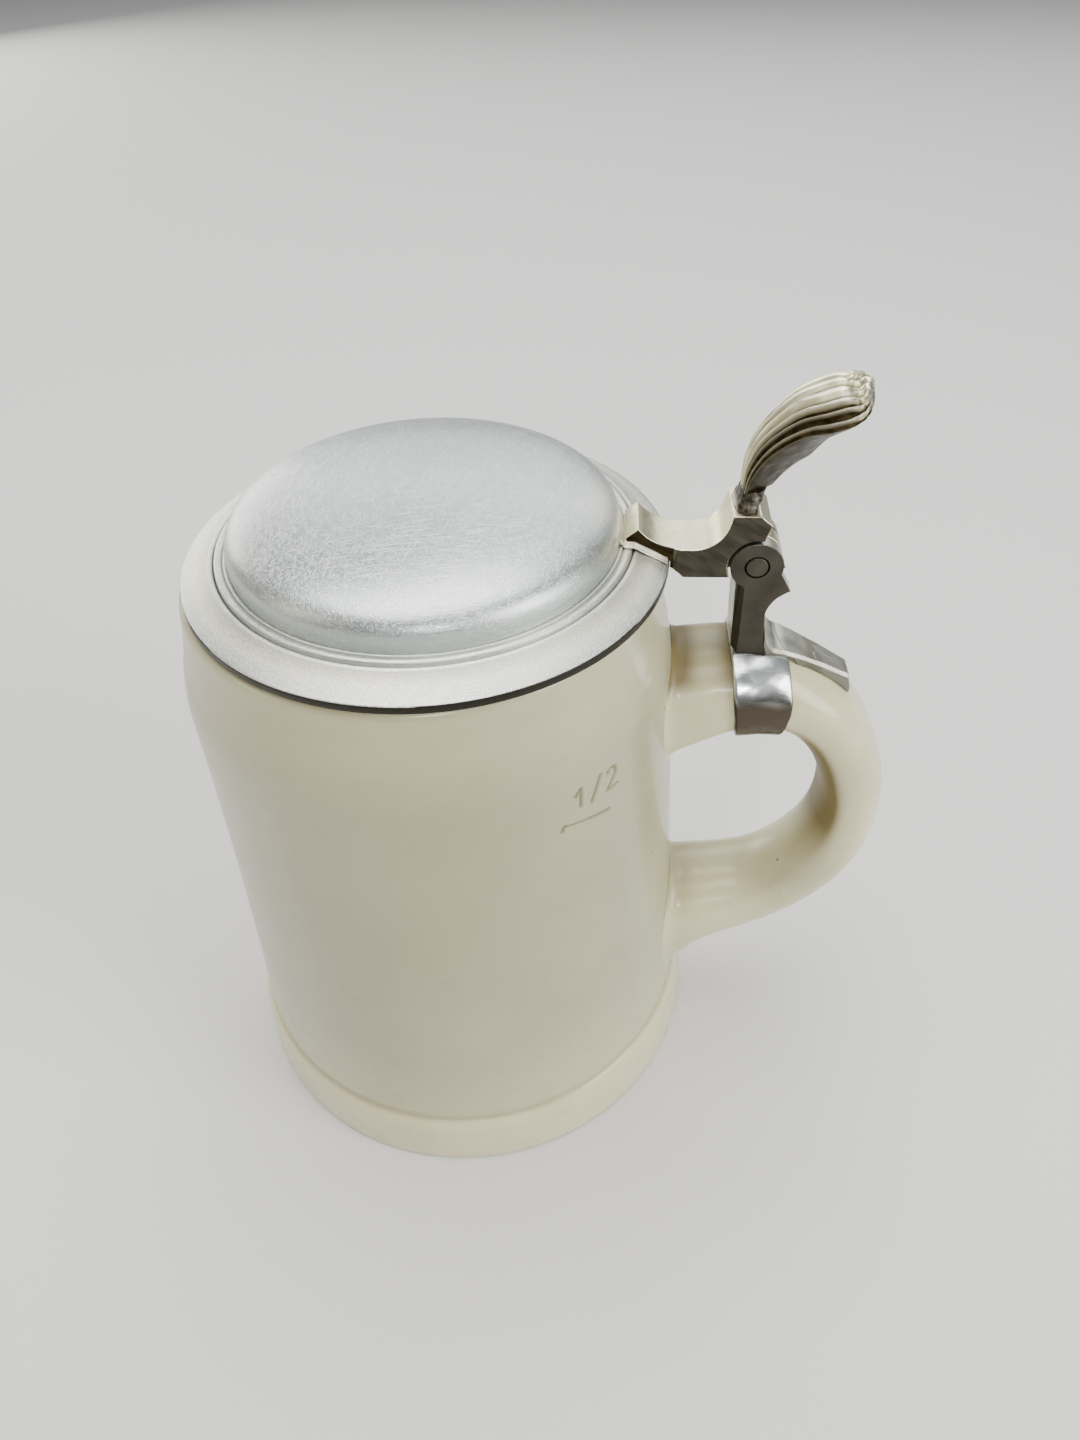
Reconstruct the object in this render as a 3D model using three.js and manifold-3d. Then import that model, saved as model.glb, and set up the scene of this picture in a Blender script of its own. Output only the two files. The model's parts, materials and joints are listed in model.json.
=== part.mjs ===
// A half-litre stoneware beer stein with a domed pewter lid.
// Millimetres, +Z up. The origin is on the mug's axis at its foot, and +X points to the handle.
// The lid turns on a pin that runs along Y, above the top of the handle.

import * as THREE from 'three';
import Module from 'manifold-3d';
import { mergeVertices } from 'three/addons/utils/BufferGeometryUtils.js';

const wasm = await Module();
wasm.setup();

// ---- Driving dimensions ----

const GAP = 0.3; // between pieces that touch
const ROUND_SEGMENTS = 48; // round the mug and the lid
const CURVE_STEPS = 4; // points on each curved stretch of an outline

// Mug: outside radii and heights, then the wall and the floor.
const FOOT_RADIUS = 52.1;
const FOOT_EDGE = 1.2; // rounding under the foot ring
const FOOT_SIDE_TOP = { r: 51.5, z: 10.8 };
const FOOT_SHOULDER = 13.4; // height that the foot ring's rounded top is drawn towards
const WALL_START = { r: 50.1, z: 14.6 };
const WAIST = { r: 47.6, z: 50 }; // the wall's slow curve is drawn towards this
const WALL_END = { r: 46.1, z: 105 };
const SHOULDER = { r: 46, z: 111 };
const NECK_FOOT = { r: 44.1, z: 114.5 };
const NECK = { r: 42.9, z: 123.4 };
const RIM_TOP = 125.9;
const RIM_MIDDLE_RADIUS = 40.3;
const MOUTH = { r: 37.8, z: 123 };
const MOUTH_FOOT = 117.6;
const INSIDE_SHOULDER = { r: 41, z: 113.5 };
const INSIDE_TOP = { r: 41.4, z: 106 };
const INSIDE_WAIST = { r: 42.3, z: 50 };
const INSIDE_FOOT = { r: 44.2, z: 18 };
const FLOOR_FILLET_RADIUS = 36;
const FLOOR_TOP = 8;
const LEAN = 0.0118; // the mug leans this much away from the handle for each mm of height

// Lid: a flange that slopes up to two bead rings, and a domed crown.
const FLANGE_RADIUS = 43.2;
const FLANGE_BOTTOM = RIM_TOP + GAP;
const FLANGE_TOP = 127.9;
const GROOVE = { r: 37.2, z: 130.7 };
const BEAD_START = 34.5;
const BEAD_VALLEY = 130.7;
const BEAD_TOP = 131.2;
const BEAD_WIDTH = 1.3;
const BEADS = 2;
const DOME_RADIUS = 34.1;
const DOME_BASE = 130.9;
const DOME_HEIGHT = 10.6;
const DOME_SIDE_POWER = 2 / 1.84;
const DOME_CROWN_POWER = 2 / 2.87;
const DOME_STEPS = 9;
const LID_SHEET = 1.7;
const LID_INNER_BASE = 130.1;
const LID_SEAT_EDGE = 0.6; // the flat seat reaches this far inside the middle of the mug's rim

// Hinge: a pin along Y through two post cheeks and the knuckle of the lid's arm.
const PIN = { x: 58, z: 127.2, radius: 1.95, halfLength: 5.3 };
const RING_RADIUS = 4.6; // cheeks and knuckle
const RING_CLEARANCE = 0.6;
const HINGE_HALF_WIDTH = 5.2;
const KNUCKLE_HALF_WIDTH = 1.95;
const CHEEK_INNER = 2.25;
const RING_SEGMENTS = 32;
const SLOT_FLOOR = 122; // of the fork's slot
const THROUGH = 1; // how far a cutting tool passes beyond what it cuts

const ARM_HALF_WIDTH = 5;
const ARM_FRONT = 35.4;
const ARM_UNDERSIDE = 124.9; // behind the flange
const SADDLE = { x: 46.4, z: 130.5 }; // lowest point of the arm's hollow top
const BLOCK_FRONT = 53;
const BLOCK_BACK = 57.8;
const BLOCK_TOP = 137.1; // flat under the thumb lift

const POST_FOOT = 107.4; // below the band's top, so that the cut by the band shapes the foot
const POST_FRONT = 55.3;
const POST_BACK = { low: 61.6, high: 60.5 };
const POST_CHAMFER = { x: 0.85, y: 2.2 }; // along the front corner, up to the cheek
const NIB_TIP = { x: 64.4, z: 122.2 }; // the stop behind the cheeks

// The strap's top, from the post to its tail, and its half width there.
const STRAP_LINE = [
  { x: 60.9, z: 113.8, half: 5.2 },
  { x: 61.6, z: 111.1, half: 5.2 },
  { x: 63.2, z: 109, half: 5 },
  { x: 65.8, z: 108.1, half: 4.6 },
  { x: 69.6, z: 106.3, half: 4 },
  { x: 74, z: 103.6, half: 3.5 },
  { x: 78.3, z: 100.7, half: 2.9 },
];
const STRAP_TAIL = { x: 79, z: 98, half: 2.7 };
const STRAP_STEPS = 20;
const STRAP_BEVEL = 0.4;
const STRAP_FRONT_DEPTH = 100; // the strap is drawn down into the handle, then cut to lie on it
const STRAP_UNDERSIDE_FALL = 0.16; // of that depth, per mm along the strap

const ARM_SOLDER_RUN = 1.1;
const ARM_SOLDER_HEIGHT = 0.6;
const ARM_SOLDER_BACK = 42.6;
const LUMP_TOP = 140.1; // of the solder under the thumb lift

const SECTION_POWER = 2.4; // handle and band sections are rounded ovals
const SECTION_POINTS = 20;

// ---- Materials ----

const stoneware = new THREE.MeshStandardMaterial({ color: 0xc6c5b4, roughness: 0.2, metalness: 0 });
const handleGlaze = new THREE.MeshStandardMaterial({ color: 0xdcd7ba, roughness: 0.2, metalness: 0 });
const pewter = new THREE.MeshStandardMaterial({ color: 0xb4bac2, roughness: 0.35, metalness: 1 });
const agedPewter = new THREE.MeshStandardMaterial({ color: 0xb9b496, roughness: 0.4, metalness: 1 });
const darkPewter = new THREE.MeshStandardMaterial({ color: 0x74706a, roughness: 0.45, metalness: 1 });
const bandMetal = new THREE.MeshStandardMaterial({ color: 0xc4cdd2, roughness: 0.25, metalness: 1 });
const solderMetal = new THREE.MeshStandardMaterial({ color: 0x807b70, roughness: 0.6, metalness: 1 });

// ---- Helpers ----

function solidFrom(geometry) {
  const bare = geometry.clone();
  bare.deleteAttribute('normal');
  bare.deleteAttribute('uv');
  const merged = mergeVertices(bare, 1e-4);
  return new wasm.Manifold(new wasm.Mesh({
    numProp: 3,
    vertProperties: new Float32Array(merged.attributes.position.array),
    triVerts: new Uint32Array(merged.index.array),
  }));
}

function geometryFrom(solid) {
  const result = solid.getMesh();
  const geometry = new THREE.BufferGeometry();
  geometry.setAttribute('position', new THREE.BufferAttribute(result.vertProperties, 3));
  geometry.setIndex(new THREE.BufferAttribute(result.triVerts, 1));
  geometry.computeVertexNormals();
  return geometry;
}

function node(name, solid, material) {
  const mesh = new THREE.Mesh(geometryFrom(solid), material);
  mesh.name = name;
  return mesh;
}

// A solid of revolution about Z. The outline runs from the axis, over the top, round and back.
function turned(outline) {
  const points = outline.map(([r, z]) => new THREE.Vector2(r, z));
  const geometry = new THREE.LatheGeometry(points, ROUND_SEGMENTS);
  geometry.rotateX(Math.PI / 2);
  return solidFrom(geometry);
}

function pathPoints(path) {
  return path.getPoints(CURVE_STEPS).map((p) => [p.x, p.y]);
}

// An outline in the XZ plane made thick along Y, from low to high.
function plate(shape, low, high) {
  const geometry = new THREE.ExtrudeGeometry(shape, {
    depth: high - low,
    bevelEnabled: false,
    curveSegments: CURVE_STEPS * 2,
  });
  geometry.rotateX(Math.PI / 2);
  geometry.translate(0, high, 0);
  return solidFrom(geometry);
}

// A round bar along Y, centred on the hinge pin.
function barOnPin(radius, low, high) {
  const geometry = new THREE.CylinderGeometry(radius, radius, high - low, RING_SEGMENTS);
  geometry.translate(0, (low + high) / 2, 0);
  geometry.translate(PIN.x, 0, PIN.z);
  return solidFrom(geometry);
}

// An oval ring of points. The angle is the direction, in the XZ plane, of the line that it stands
// square to, and the ring leans with it.
function ovalRing({ x, z, angle, height, width }) {
  const ring = [];
  for (let i = 0; i < SECTION_POINTS; i += 1) {
    const turn = (i / SECTION_POINTS) * 2 * Math.PI;
    const up = height * Math.sign(Math.cos(turn)) * Math.abs(Math.cos(turn)) ** (2 / SECTION_POWER);
    const side = width * Math.sign(Math.sin(turn)) * Math.abs(Math.sin(turn)) ** (2 / SECTION_POWER);
    ring.push(new THREE.Vector3(x - up * Math.sin(angle), -side, z + up * Math.cos(angle)));
  }
  return ring;
}

// A closed solid through rings that all have the same number of points.
function lofted(rings) {
  const count = rings[0].length;
  const positions = rings.flat().flatMap((p) => p.toArray());
  const indices = [];
  for (let r = 0; r < rings.length - 1; r += 1) {
    for (let i = 0; i < count; i += 1) {
      const next = (i + 1) % count;
      const a = r * count + i;
      const b = r * count + next;
      indices.push(a, b, b + count, a, b + count, a + count);
    }
  }
  for (const [ring, flip] of [[0, true], [rings.length - 1, false]]) {
    const middle = new THREE.Vector3();
    rings[ring].forEach((p) => middle.addScaledVector(p, 1 / count));
    const centre = positions.length / 3;
    positions.push(...middle.toArray());
    for (let i = 0; i < count; i += 1) {
      const a = ring * count + i;
      const b = ring * count + ((i + 1) % count);
      indices.push(...(flip ? [centre, b, a] : [centre, a, b]));
    }
  }
  const geometry = new THREE.BufferGeometry();
  geometry.setAttribute('position', new THREE.Float32BufferAttribute(positions, 3));
  geometry.setIndex(indices);
  return solidFrom(geometry);
}

// ---- Mug body ----

function leaned(solid) {
  return solid.warp((point) => {
    point[0] -= LEAN * point[2];
  });
}

// The outside from the axis under the foot to the middle of the rim, moved out by grow.
function mugOutside(grow) {
  const path = new THREE.Path();
  path.moveTo(0, -grow);
  path.lineTo(FOOT_RADIUS - FOOT_EDGE, -grow);
  path.quadraticCurveTo(FOOT_RADIUS + grow, -grow, FOOT_RADIUS + grow, FOOT_EDGE);
  path.lineTo(FOOT_SIDE_TOP.r + grow, FOOT_SIDE_TOP.z);
  path.quadraticCurveTo(
    FOOT_SIDE_TOP.r + grow, FOOT_SHOULDER + grow,
    WALL_START.r + grow, WALL_START.z + grow,
  );
  path.quadraticCurveTo(WAIST.r + grow, WAIST.z, WALL_END.r + grow, WALL_END.z);
  path.bezierCurveTo(
    SHOULDER.r + grow, SHOULDER.z,
    NECK_FOOT.r + grow, NECK_FOOT.z,
    NECK.r + grow, NECK.z,
  );
  path.quadraticCurveTo(NECK.r + grow, RIM_TOP + grow, RIM_MIDDLE_RADIUS, RIM_TOP + grow);
  return path;
}

function mugBody() {
  const path = mugOutside(0);
  path.quadraticCurveTo(MOUTH.r, RIM_TOP, MOUTH.r, MOUTH.z);
  path.bezierCurveTo(
    MOUTH.r, MOUTH_FOOT,
    INSIDE_SHOULDER.r, INSIDE_SHOULDER.z,
    INSIDE_TOP.r, INSIDE_TOP.z,
  );
  path.quadraticCurveTo(INSIDE_WAIST.r, INSIDE_WAIST.z, INSIDE_FOOT.r, INSIDE_FOOT.z);
  path.quadraticCurveTo(INSIDE_FOOT.r, FLOOR_TOP, FLOOR_FILLET_RADIUS, FLOOR_TOP);
  path.lineTo(0, FLOOR_TOP);
  return leaned(turned(pathPoints(path)));
}

// ---- Handle: an ear whose section is slimmest at the back of its loop ----

// The middle line, from the upper joint to the lower one, with half height and half width.
const HANDLE_LINE = new THREE.CatmullRomCurve3([
  [44.5, 95.1], [53.9, 98.3], [62.3, 98.6], [69.6, 95.9], [75.9, 90.2], [80.9, 81.5], [83.7, 71.2],
  [83.2, 60.5], [79.6, 50.6], [73.4, 42.7], [66.4, 37.7], [58.2, 34.4], [51.6, 31.9], [46.4, 28.9],
].map(([x, z]) => new THREE.Vector3(x, 0, z)));
const HANDLE_HEIGHTS = [11, 9.4, 8.2, 7.2, 6.6, 6.4, 6.5, 6.7, 7, 7.4, 8, 9.2, 10.4, 12];
const HANDLE_WIDTHS = [12.4, 11.7, 11, 10.5, 10.1, 9.8, 9.7, 9.6, 9.7, 9.9, 10.3, 11, 11.9, 12.7];
const HANDLE_STEPS = 26;

function between(values, t) {
  const place = t * (values.length - 1);
  const low = Math.min(Math.floor(place), values.length - 2);
  return THREE.MathUtils.lerp(values[low], values[low + 1], place - low);
}

function handleLoop(grow) {
  const rings = [];
  for (let i = 0; i <= HANDLE_STEPS; i += 1) {
    const t = i / HANDLE_STEPS;
    const middle = HANDLE_LINE.getPoint(t);
    const along = HANDLE_LINE.getTangent(t);
    rings.push(ovalRing({
      x: middle.x,
      z: middle.z,
      angle: Math.atan2(along.z, along.x),
      height: between(HANDLE_HEIGHTS, t) + grow,
      width: between(HANDLE_WIDTHS, t) + grow,
    }));
  }
  return lofted(rings);
}

function grownMug() {
  const path = mugOutside(GAP);
  path.lineTo(0, RIM_TOP + GAP);
  return leaned(turned(pathPoints(path)));
}

function handle() {
  return handleLoop(0).subtract(grownMug());
}

// ---- Band: a thin strip of metal closed round the top of the handle ----

function bandHoop(grow) {
  const mugSide = { x: 56.4 - grow, z: 98.6, angle: 0.1, height: 10 + grow, width: 12.7 + grow };
  const backSide = { x: 66 + grow, z: 97.8, angle: 0, height: 9.3 + grow, width: 12.1 + grow };
  return lofted([ovalRing(mugSide), ovalRing(backSide)]);
}

function handleBand() {
  return bandHoop(0).subtract(handleLoop(GAP));
}

// ---- Post: a fork that stands on the band and holds the pin, and the strap behind it ----

function postOutline() {
  const shape = new THREE.Shape();
  shape.moveTo(POST_FRONT, POST_FOOT);
  shape.lineTo(POST_BACK.low, POST_FOOT);
  shape.lineTo(60.9, 110);
  shape.lineTo(POST_BACK.high, 117.4);
  shape.quadraticCurveTo(61.2, 120.8, NIB_TIP.x, NIB_TIP.z);
  shape.lineTo(62.4, 125.8);
  shape.absarc(PIN.x, PIN.z, RING_RADIUS, -0.31, Math.PI + 0.83, false);
  return shape;
}

// The wedge that a chamfer takes off one front corner, from the foot to the cheek's ring.
function postChamfer() {
  const shape = new THREE.Shape();
  shape.moveTo(POST_FRONT - THROUGH, -HINGE_HALF_WIDTH - THROUGH);
  shape.lineTo(POST_FRONT + POST_CHAMFER.x, -HINGE_HALF_WIDTH - THROUGH);
  shape.lineTo(POST_FRONT + POST_CHAMFER.x, -HINGE_HALF_WIDTH);
  shape.lineTo(POST_FRONT, -HINGE_HALF_WIDTH + POST_CHAMFER.y);
  shape.lineTo(POST_FRONT - THROUGH, -HINGE_HALF_WIDTH + POST_CHAMFER.y);
  const wedge = new THREE.ExtrudeGeometry(shape, { depth: PIN.z - POST_FOOT, bevelEnabled: false });
  wedge.translate(0, 0, POST_FOOT);
  const cheekEnd = HINGE_HALF_WIDTH + 2 * THROUGH;
  return solidFrom(wedge).subtract(barOnPin(RING_RADIUS, -cheekEnd, cheekEnd));
}

function hingePost() {
  const slotShape = new THREE.Shape();
  slotShape.moveTo(PIN.x - 2 * RING_RADIUS, SLOT_FLOOR);
  slotShape.lineTo(PIN.x + 2 * RING_RADIUS, SLOT_FLOOR);
  slotShape.lineTo(PIN.x + 2 * RING_RADIUS, PIN.z + 2 * RING_RADIUS);
  slotShape.lineTo(PIN.x - 2 * RING_RADIUS, PIN.z + 2 * RING_RADIUS);
  const slot = plate(slotShape, -CHEEK_INNER, CHEEK_INNER);
  const holeEnd = HINGE_HALF_WIDTH + THROUGH;
  return plate(postOutline(), -HINGE_HALF_WIDTH, HINGE_HALF_WIDTH)
    .subtract(slot)
    .subtract(barOnPin(PIN.radius + GAP, -holeEnd, holeEnd))
    .subtract(postChamfer())
    .subtract(bandHoop(GAP));
}

function strapRing({ x, y: half, z }) {
  const low = STRAP_FRONT_DEPTH - STRAP_UNDERSIDE_FALL * (x - STRAP_LINE[0].x);
  return [
    [half, z - STRAP_BEVEL],
    [half - STRAP_BEVEL, z],
    [-half + STRAP_BEVEL, z],
    [-half, z - STRAP_BEVEL],
    [-half, low],
    [half, low],
  ].map(([y, height]) => new THREE.Vector3(x, y, height));
}

function tailStrap() {
  const line = new THREE.CatmullRomCurve3(STRAP_LINE.map(({ x, z, half }) => new THREE.Vector3(x, half, z)));
  const tail = new THREE.Vector3(STRAP_TAIL.x, STRAP_TAIL.half, STRAP_TAIL.z);
  const postSpace = plate(postOutline(), -HINGE_HALF_WIDTH - THROUGH, HINGE_HALF_WIDTH + THROUGH);
  return lofted([...line.getPoints(STRAP_STEPS), tail].map(strapRing))
    .subtract(handleLoop(GAP))
    .subtract(bandHoop(GAP))
    .subtract(postSpace.translate(GAP, 0, 0));
}

function hingePin() {
  return barOnPin(PIN.radius, -PIN.halfLength, PIN.halfLength);
}

// ---- Lid ----

function domePoints(radius, base, height) {
  const points = [];
  for (let i = 0; i <= DOME_STEPS; i += 1) {
    const turn = (Math.PI / 2) * (1 - i / DOME_STEPS);
    const r = i === 0 ? 0 : radius * Math.cos(turn) ** DOME_SIDE_POWER;
    points.push([r, base + height * Math.sin(turn) ** DOME_CROWN_POWER]);
  }
  return points;
}

function beadPoints() {
  const points = [];
  for (let i = 0; i < BEADS; i += 1) {
    const start = BEAD_START + i * BEAD_WIDTH;
    points.push([start, BEAD_VALLEY]);
    points.push([start + BEAD_WIDTH / 2, BEAD_TOP]);
  }
  return points;
}

function lid() {
  const innerTop = DOME_BASE + DOME_HEIGHT - LID_SHEET;
  const inside = domePoints(DOME_RADIUS - LID_SHEET, LID_INNER_BASE, innerTop - LID_INNER_BASE);
  return turned([
    ...domePoints(DOME_RADIUS, DOME_BASE, DOME_HEIGHT),
    ...beadPoints(),
    [GROOVE.r, GROOVE.z],
    [FLANGE_RADIUS, FLANGE_TOP],
    [FLANGE_RADIUS, FLANGE_BOTTOM],
    [RIM_MIDDLE_RADIUS - LID_SEAT_EDGE, FLANGE_BOTTOM],
    [GROOVE.r - LID_SEAT_EDGE, GROOVE.z - LID_SHEET],
    ...inside.reverse(),
  ].reverse());
}

// The space that the lid and all below it take, level over the beads, moved out by grow.
function grownLid(grow) {
  return turned([
    ...domePoints(DOME_RADIUS + grow, BEAD_TOP + grow, DOME_BASE + DOME_HEIGHT - BEAD_TOP),
    [GROOVE.r + grow, BEAD_TOP + grow],
    [FLANGE_RADIUS + grow, FLANGE_TOP + grow],
    [FLANGE_RADIUS + grow, WALL_END.z],
    [0, WALL_END.z],
  ].reverse());
}

// ---- Lid arm: from the crown's edge over the flange to the hinge, with a saddle in its top ----

function armOutline(front) {
  const shape = new THREE.Shape();
  shape.moveTo(front, 132.7);
  shape.lineTo(front, 126);
  shape.lineTo(44.3, 126);
  shape.lineTo(45.3, ARM_UNDERSIDE);
  shape.lineTo(53.4, ARM_UNDERSIDE);
  shape.lineTo(PIN.x, PIN.z);
  shape.lineTo(59, 133);
  shape.lineTo(59.8, 135.3);
  shape.lineTo(BLOCK_BACK, BLOCK_TOP);
  shape.lineTo(BLOCK_FRONT, BLOCK_TOP);
  shape.quadraticCurveTo(52.2, 130.6, SADDLE.x, SADDLE.z);
  shape.quadraticCurveTo(40.2, 130.6, 37.4, 134.4);
  return shape;
}

function lidArm() {
  const ringSpace = RING_RADIUS + RING_CLEARANCE;
  const cutEnd = ARM_HALF_WIDTH + THROUGH;
  return plate(armOutline(ARM_FRONT), -ARM_HALF_WIDTH, ARM_HALF_WIDTH)
    .subtract(barOnPin(ringSpace, -cutEnd, -KNUCKLE_HALF_WIDTH))
    .subtract(barOnPin(ringSpace, KNUCKLE_HALF_WIDTH, cutEnd))
    .add(barOnPin(RING_RADIUS, -KNUCKLE_HALF_WIDTH, KNUCKLE_HALF_WIDTH))
    .subtract(barOnPin(PIN.radius + GAP, -cutEnd, cutEnd))
    .subtract(grownLid(GAP));
}

// A thin fillet of solder on the flange, round three sides of the arm's root.
function lidArmSolder() {
  const solderFront = ARM_FRONT - 2 * ARM_SOLDER_RUN;
  const solderSide = ARM_HALF_WIDTH + ARM_SOLDER_RUN;
  const footprint = new THREE.Shape();
  footprint.moveTo(solderFront, FLANGE_BOTTOM);
  footprint.lineTo(ARM_SOLDER_BACK, FLANGE_BOTTOM);
  footprint.lineTo(ARM_SOLDER_BACK, BEAD_TOP + 1);
  footprint.lineTo(solderFront, BEAD_TOP + 1);
  const armSpace = plate(armOutline(ARM_FRONT - GAP), -ARM_HALF_WIDTH - GAP, ARM_HALF_WIDTH + GAP);
  return plate(footprint, -solderSide, solderSide)
    .intersect(grownLid(GAP + ARM_SOLDER_HEIGHT))
    .subtract(grownLid(GAP))
    .subtract(armSpace);
}

// ---- Thumb lift: a fluted leaf that rises from a narrow neck to a broad rolled tip ----

// Edge line from the neck to the tip, the direction of the leaf, half width and back keel depth.
// The leaf is not quite even: it sways to one side, and its tip is cut a little askew.
const LEAF = [
  { x: 54.7, z: 140.4, angle: 90, width: 3.4, keel: 4.6, crown: 0.3, sway: 0, skew: 0 },
  { x: 55.3, z: 144, angle: 74, width: 4.2, keel: 5.6, crown: 0.5, sway: 0.1, skew: 0 },
  { x: 57, z: 147.7, angle: 60, width: 4.9, keel: 6.3, crown: 0.8, sway: 0.4, skew: 0 },
  { x: 59.6, z: 150.9, angle: 47, width: 6.2, keel: 6.9, crown: 1, sway: 0.4, skew: 0 },
  { x: 62.8, z: 153.4, angle: 35, width: 7.9, keel: 6.4, crown: 1.2, sway: 0.1, skew: 0 },
  { x: 66.2, z: 155, angle: 27, width: 9.4, keel: 5, crown: 1.3, sway: 0.6, skew: 0.1 },
  { x: 69.4, z: 156.3, angle: 24, width: 9.2, keel: 3.4, crown: 1.3, sway: 1.1, skew: 0.3 },
  { x: 71.8, z: 157.3, angle: 24, width: 7.3, keel: 2.4, crown: 1, sway: 1, skew: 0.6 },
  { x: 73, z: 157.9, angle: 24, width: 4.1, keel: 1.6, crown: 0.5, sway: 0.7, skew: 0.8 },
];
const FLUTES = 5;
const FLUTE_DEPTH = 0.5;
const FRONT_POINTS = 20;
const BACK_POINTS = 8;

function leafRing({ x, z, angle, width, keel, crown, sway, skew }) {
  const lean = THREE.MathUtils.degToRad(angle);
  const place = (across, out) => new THREE.Vector3(
    x - out * Math.sin(lean) + across * skew,
    across * width - sway,
    z + out * Math.cos(lean),
  );
  const ring = [];
  for (let i = 0; i < FRONT_POINTS; i += 1) {
    const across = -1 + (2 * i) / FRONT_POINTS;
    const flute = FLUTE_DEPTH * Math.abs(Math.sin((across + 1) * 0.5 * FLUTES * Math.PI));
    ring.push(place(across, (crown + flute) * (1 - across ** 4)));
  }
  for (let i = 0; i < BACK_POINTS; i += 1) {
    const across = 1 - (2 * i) / BACK_POINTS;
    ring.push(place(across, -keel * (1 - Math.abs(across)) ** 0.8 - 0.3 * (1 - across ** 2)));
  }
  return ring.reverse();
}

function thumbLift() {
  return lofted(LEAF.map(leafRing));
}

// The lump of solder that joins the thumb lift to the flat top of the arm's block.
function thumbLiftSolder() {
  const level = { angle: Math.PI / 2 };
  const bottom = { ...level, x: 55.5, z: BLOCK_TOP + GAP, height: 2.2, width: 4.5 };
  const middle = { ...level, x: 55.9, z: (BLOCK_TOP + LUMP_TOP) / 2, height: 2.3, width: 4.1 };
  const top = { ...level, x: 56.6, z: LUMP_TOP, height: 2.2, width: 3.5 };
  return lofted([ovalRing(bottom), ovalRing(middle), ovalRing(top)]);
}

// ---- Assembly ----

const stein = new THREE.Group();
stein.add(
  node('mug_body', mugBody(), stoneware),
  node('handle', handle(), handleGlaze),
  node('handle_band', handleBand(), bandMetal),
  node('hinge_post', hingePost(), darkPewter),
  node('tail_strap', tailStrap(), pewter),
  node('hinge_pin', hingePin(), darkPewter),
);

// Everything here turns about the pin when the lid opens.
const lidAssembly = new THREE.Group();
lidAssembly.add(
  node('lid', lid(), pewter),
  node('lid_arm', lidArm(), agedPewter),
  node('lid_arm_solder', lidArmSolder(), solderMetal),
  node('thumb_lift', thumbLift(), agedPewter),
  node('thumb_lift_solder', thumbLiftSolder(), solderMetal),
);
stein.add(lidAssembly);

export default stein;
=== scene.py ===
import json
import math

import bmesh
import bpy
import numpy as np
from mathutils import Matrix, Vector


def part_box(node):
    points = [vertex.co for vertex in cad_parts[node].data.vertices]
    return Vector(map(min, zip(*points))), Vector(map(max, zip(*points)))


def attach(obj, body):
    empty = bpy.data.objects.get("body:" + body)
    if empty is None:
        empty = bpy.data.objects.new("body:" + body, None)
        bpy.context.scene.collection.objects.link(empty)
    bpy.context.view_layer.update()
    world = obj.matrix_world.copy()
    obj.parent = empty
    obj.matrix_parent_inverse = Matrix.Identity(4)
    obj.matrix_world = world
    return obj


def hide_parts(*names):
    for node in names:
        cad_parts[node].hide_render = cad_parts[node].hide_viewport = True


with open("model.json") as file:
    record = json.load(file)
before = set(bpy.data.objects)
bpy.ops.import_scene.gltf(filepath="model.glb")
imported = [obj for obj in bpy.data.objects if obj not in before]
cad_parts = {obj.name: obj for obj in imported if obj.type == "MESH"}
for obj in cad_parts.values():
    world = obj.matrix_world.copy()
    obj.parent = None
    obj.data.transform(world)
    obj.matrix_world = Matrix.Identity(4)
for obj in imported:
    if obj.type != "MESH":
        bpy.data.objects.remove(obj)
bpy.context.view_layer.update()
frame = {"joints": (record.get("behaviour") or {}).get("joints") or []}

MM = 0.001

# ---------------------------------------------------------------- places, from the CAD frame (mm)

INSIDE_BOX = 0.03  # how far the widest and highest points stay inside the CAD


def box_mm(node):
    low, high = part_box(node)
    return np.array(low) / MM, np.array(high) / MM


MUG_HIGH = box_mm("mug_body")[1]
LID_LOW, LID_HIGH = box_mm("lid")
PIN_LOW, PIN_HIGH = box_mm("hinge_pin")
POST_BOTTOM = box_mm("hinge_post")[0][2]
LEAF_TOP = box_mm("thumb_lift")[1][2]

HINGE = frame["joints"][0]
PIN_X, _, PIN_Z = (v / MM for v in HINGE["pos_m"])
PIN_RADIUS = (PIN_HIGH[2] - PIN_LOW[2]) / 2
FOOT_RADIUS = MUG_HIGH[1] - INSIDE_BOX
RIM_TOP = MUG_HIGH[2]
FLANGE_RADIUS = LID_HIGH[0] - INSIDE_BOX
FLANGE_BOTTOM = LID_LOW[2]
LID_TOP = LID_HIGH[2] - INSIDE_BOX

# ---------------------------------------------------------------- mesh helpers


def new_object(name, data):
    obj = bpy.data.objects.new(name, data)
    bpy.context.scene.collection.objects.link(obj)
    return obj


def mesh_object(name, points_mm, faces, smooth=True, sharp_degrees=None):
    mesh = bpy.data.meshes.new(name)
    mesh.from_pydata((np.asarray(points_mm, float) * MM).tolist(), [], faces)
    mesh.update()
    if smooth:
        mesh.shade_smooth()
    if sharp_degrees is not None:
        mesh.set_sharp_from_angle(angle=math.radians(sharp_degrees))
    return new_object(name, mesh)


def point_value(obj, name, values):
    attribute = obj.data.attributes.new(name, "FLOAT", "POINT")
    attribute.data.foreach_set("value", np.asarray(values, np.float32))


def points_of(obj):
    flat = np.zeros(len(obj.data.vertices) * 3, np.float32)
    obj.data.vertices.foreach_get("co", flat)
    return flat.reshape(-1, 3).astype(float) / MM


def move_points(obj, points_mm):
    obj.data.vertices.foreach_set("co", (points_mm * MM).astype(np.float32).ravel())
    obj.data.update()


def normals_of(obj):
    flat = np.zeros(len(obj.data.vertices) * 3, np.float32)
    obj.data.vertices.foreach_get("normal", flat)
    return flat.reshape(-1, 3).astype(float)


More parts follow.
